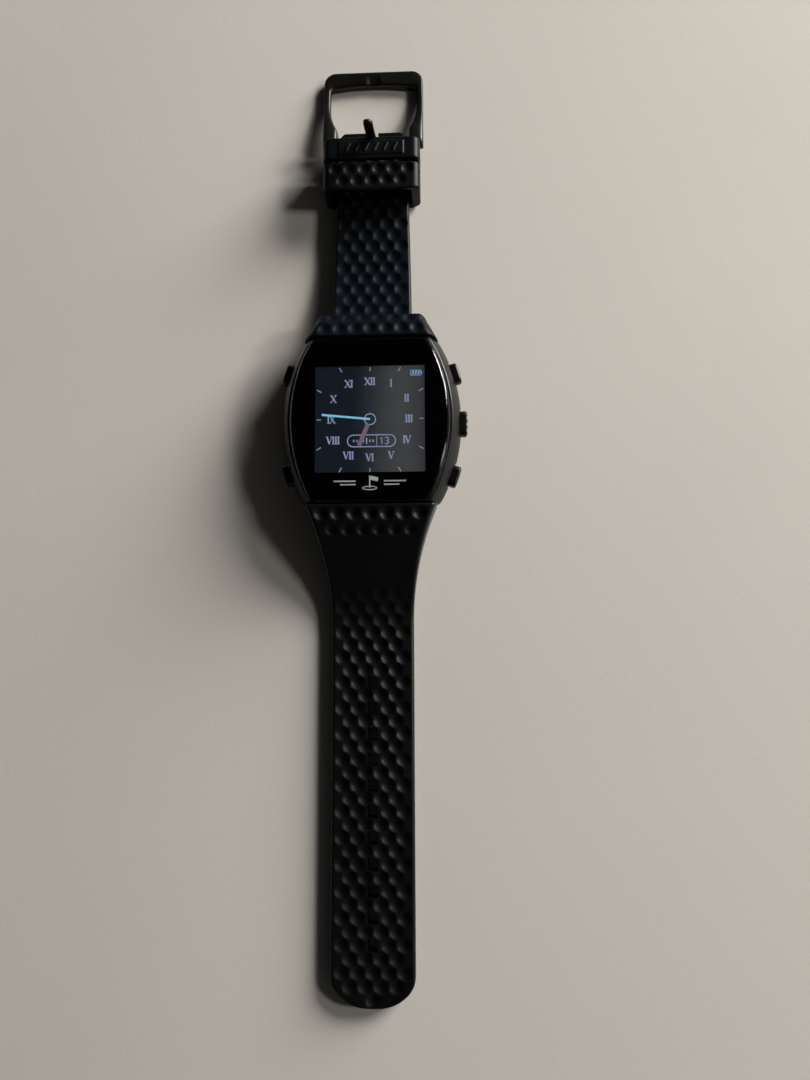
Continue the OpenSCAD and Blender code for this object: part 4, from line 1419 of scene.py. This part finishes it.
@dataclass
class InnerPieces:
    """CAD nodes that keep their shape and take a finish."""

    finishes: tuple[tuple[Finish, tuple[str, ...]], ...] = (
        (SEAL, ("glass_seal", "rear_gasket", "button_seals")), (LIGHT_GUIDE, ("lcd_backlight",)),
        (FILM, ("display_flex",)), (CHASSIS, ("inner_chassis", "buzzer")), (BOARD, ("main_board",)),
        (STEEL, ("board_screws", "rear_screws", "lug_pin_upper", "lug_pin_lower", "vibration_motor")),
        (TIN, ("shield_can", "tact_switches")), (CERAMIC, ("gps_antenna",)), (FOIL, ("battery",)),
        (FOAM, ("battery_pad",)), (GOLD, ("charging_contacts",)), (COVER, ("rear_cover",)))

    def build(self) -> None:
        """Puts each finish on its nodes."""
        for finish, names in self.finishes:
            for name in names:
                mesh = frame["nodes"][name].data
                mesh.materials.clear()
                mesh.materials.append(finish.make())


@dataclass
class Studio:
    """The table top, the lights and the camera. Lengths in metres, angles in degrees."""

    camera_at: tuple[float, float, float] = (0.0172, -0.0534, 0.2022)
    camera_turn: tuple[float, float, float] = (7.12, 2.69, -0.25)
    lens: float = 27.03
    floor_half: float = 1.6

    def floor(self) -> None:
        """A wide flat top with a slight curl at its border, below everything."""
        size = self.floor_half / MM
        line = np.linspace(-size, size, 41)
        x, y = np.meshgrid(line, line, indexing="ij")
        top = np.zeros_like(x) - 2.0 * smooth_step((np.hypot(x, y) - 0.8 * size) / (0.4 * size)) - 0.02
        made = piece("table_top", plate(x, y, top, top - 8, np.ones((40, 40), bool)), FLOOR.make())
        made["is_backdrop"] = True

    def area(self, name: str, at: tuple[float, float, float], size: float, power: float,
             color: tuple[float, float, float]) -> None:
        """A square area light that faces the watch."""
        data = bpy.data.lights.new(name, "AREA")
        data.size, data.energy, data.color = size, power, color
        lamp = bpy.data.objects.new(name, data)
        lamp.location = at
        lamp.rotation_mode = "QUATERNION"
        lamp.rotation_quaternion = (-Vector(at)).to_track_quat("-Z", "Y")
        bpy.context.scene.collection.objects.link(lamp)

    def lights(self) -> None:
        """A soft window from the right over a dim surround."""
        self.area("window", (1.19, 0.94, 0.53), 0.78, 44.0, (1.0, 0.98, 0.945))
        self.area("far_window", (0.88, 0.04, 0.66), 0.15, 2.6, (1.0, 0.98, 0.95))
        self.surround()

    def surround(self) -> None:
        """A dim room: nearly black straight above, grey round it and darker to the left."""
        world = bpy.data.worlds.new("surround")
        world.use_nodes = True
        tree = world.node_tree
        place = tree.nodes.new("ShaderNodeTexCoord")
        parts = tree.nodes.new("ShaderNodeSeparateXYZ")
        tree.links.new(place.outputs["Generated"], parts.inputs["Vector"])
        shade = tree.nodes.new("ShaderNodeMapRange")
        shade.interpolation_type = "SMOOTHSTEP"
        shade.inputs["From Min"].default_value, shade.inputs["From Max"].default_value = 0.45, 0.85
        shade.inputs["To Min"].default_value, shade.inputs["To Max"].default_value = 0.088, 0.010
        tree.links.new(parts.outputs["Z"], shade.inputs["Value"])
        tree.nodes["Background"].inputs["Color"].default_value = (1.0, 0.99, 0.97, 1.0)
        side = tree.nodes.new("ShaderNodeMapRange")
        side.interpolation_type = "SMOOTHSTEP"
        side.inputs["From Min"].default_value, side.inputs["From Max"].default_value = -0.6, 0.6
        side.inputs["To Min"].default_value, side.inputs["To Max"].default_value = 0.12, 1.45
        tree.links.new(parts.outputs["X"], side.inputs["Value"])
        both = tree.nodes.new("ShaderNodeMath")
        both.operation = "MULTIPLY"
        tree.links.new(shade.outputs["Result"], both.inputs[0])
        tree.links.new(side.outputs["Result"], both.inputs[1])
        tree.links.new(both.outputs["Value"], tree.nodes["Background"].inputs["Strength"])
        bpy.context.scene.world = world

    def camera(self) -> None:
        """A phone's camera held nearly straight above the watch."""
        data = bpy.data.cameras.new("camera")
        data.lens, data.sensor_width, data.clip_start = self.lens, 36.0, 0.01
        made = bpy.data.objects.new("camera", data)
        made.location = self.camera_at
        made.rotation_euler = [math.radians(angle) for angle in self.camera_turn]
        bpy.context.scene.collection.objects.link(made)
        bpy.context.scene.camera = made

    def build(self) -> None:
        """Sets the stage, with plain sRGB colours."""
        bpy.context.scene.view_settings.view_transform = "Standard"
        self.camera()
        self.floor()
        self.lights()


def main() -> None:
    """Builds the watch around the frame."""
    logging.basicConfig(level=logging.INFO, format="%(name)s %(message)s")
    Studio().build()
    CaseShell().build()
    Dial().build()
    ShortStrap().build()
    LongStrap().build()
    Keeper("keeper_loop_fixed", "keeper_fixed", "short_end", KeeperTop.BARS, 20.04, 1.48).build()
    Keeper("keeper_loop_sliding", "keeper_sliding", "keeper", KeeperTop.DIMPLES, 20.5, 1.25, bow=0.7).build()
    Buckle().build()
    InnerPieces().build()
    sizes = {"cad": CAD_BOX, "visual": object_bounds()}
    {name: [list(corner) for corner in box] for name, box in sizes.items()}


if __name__ == "__main__":
    main()
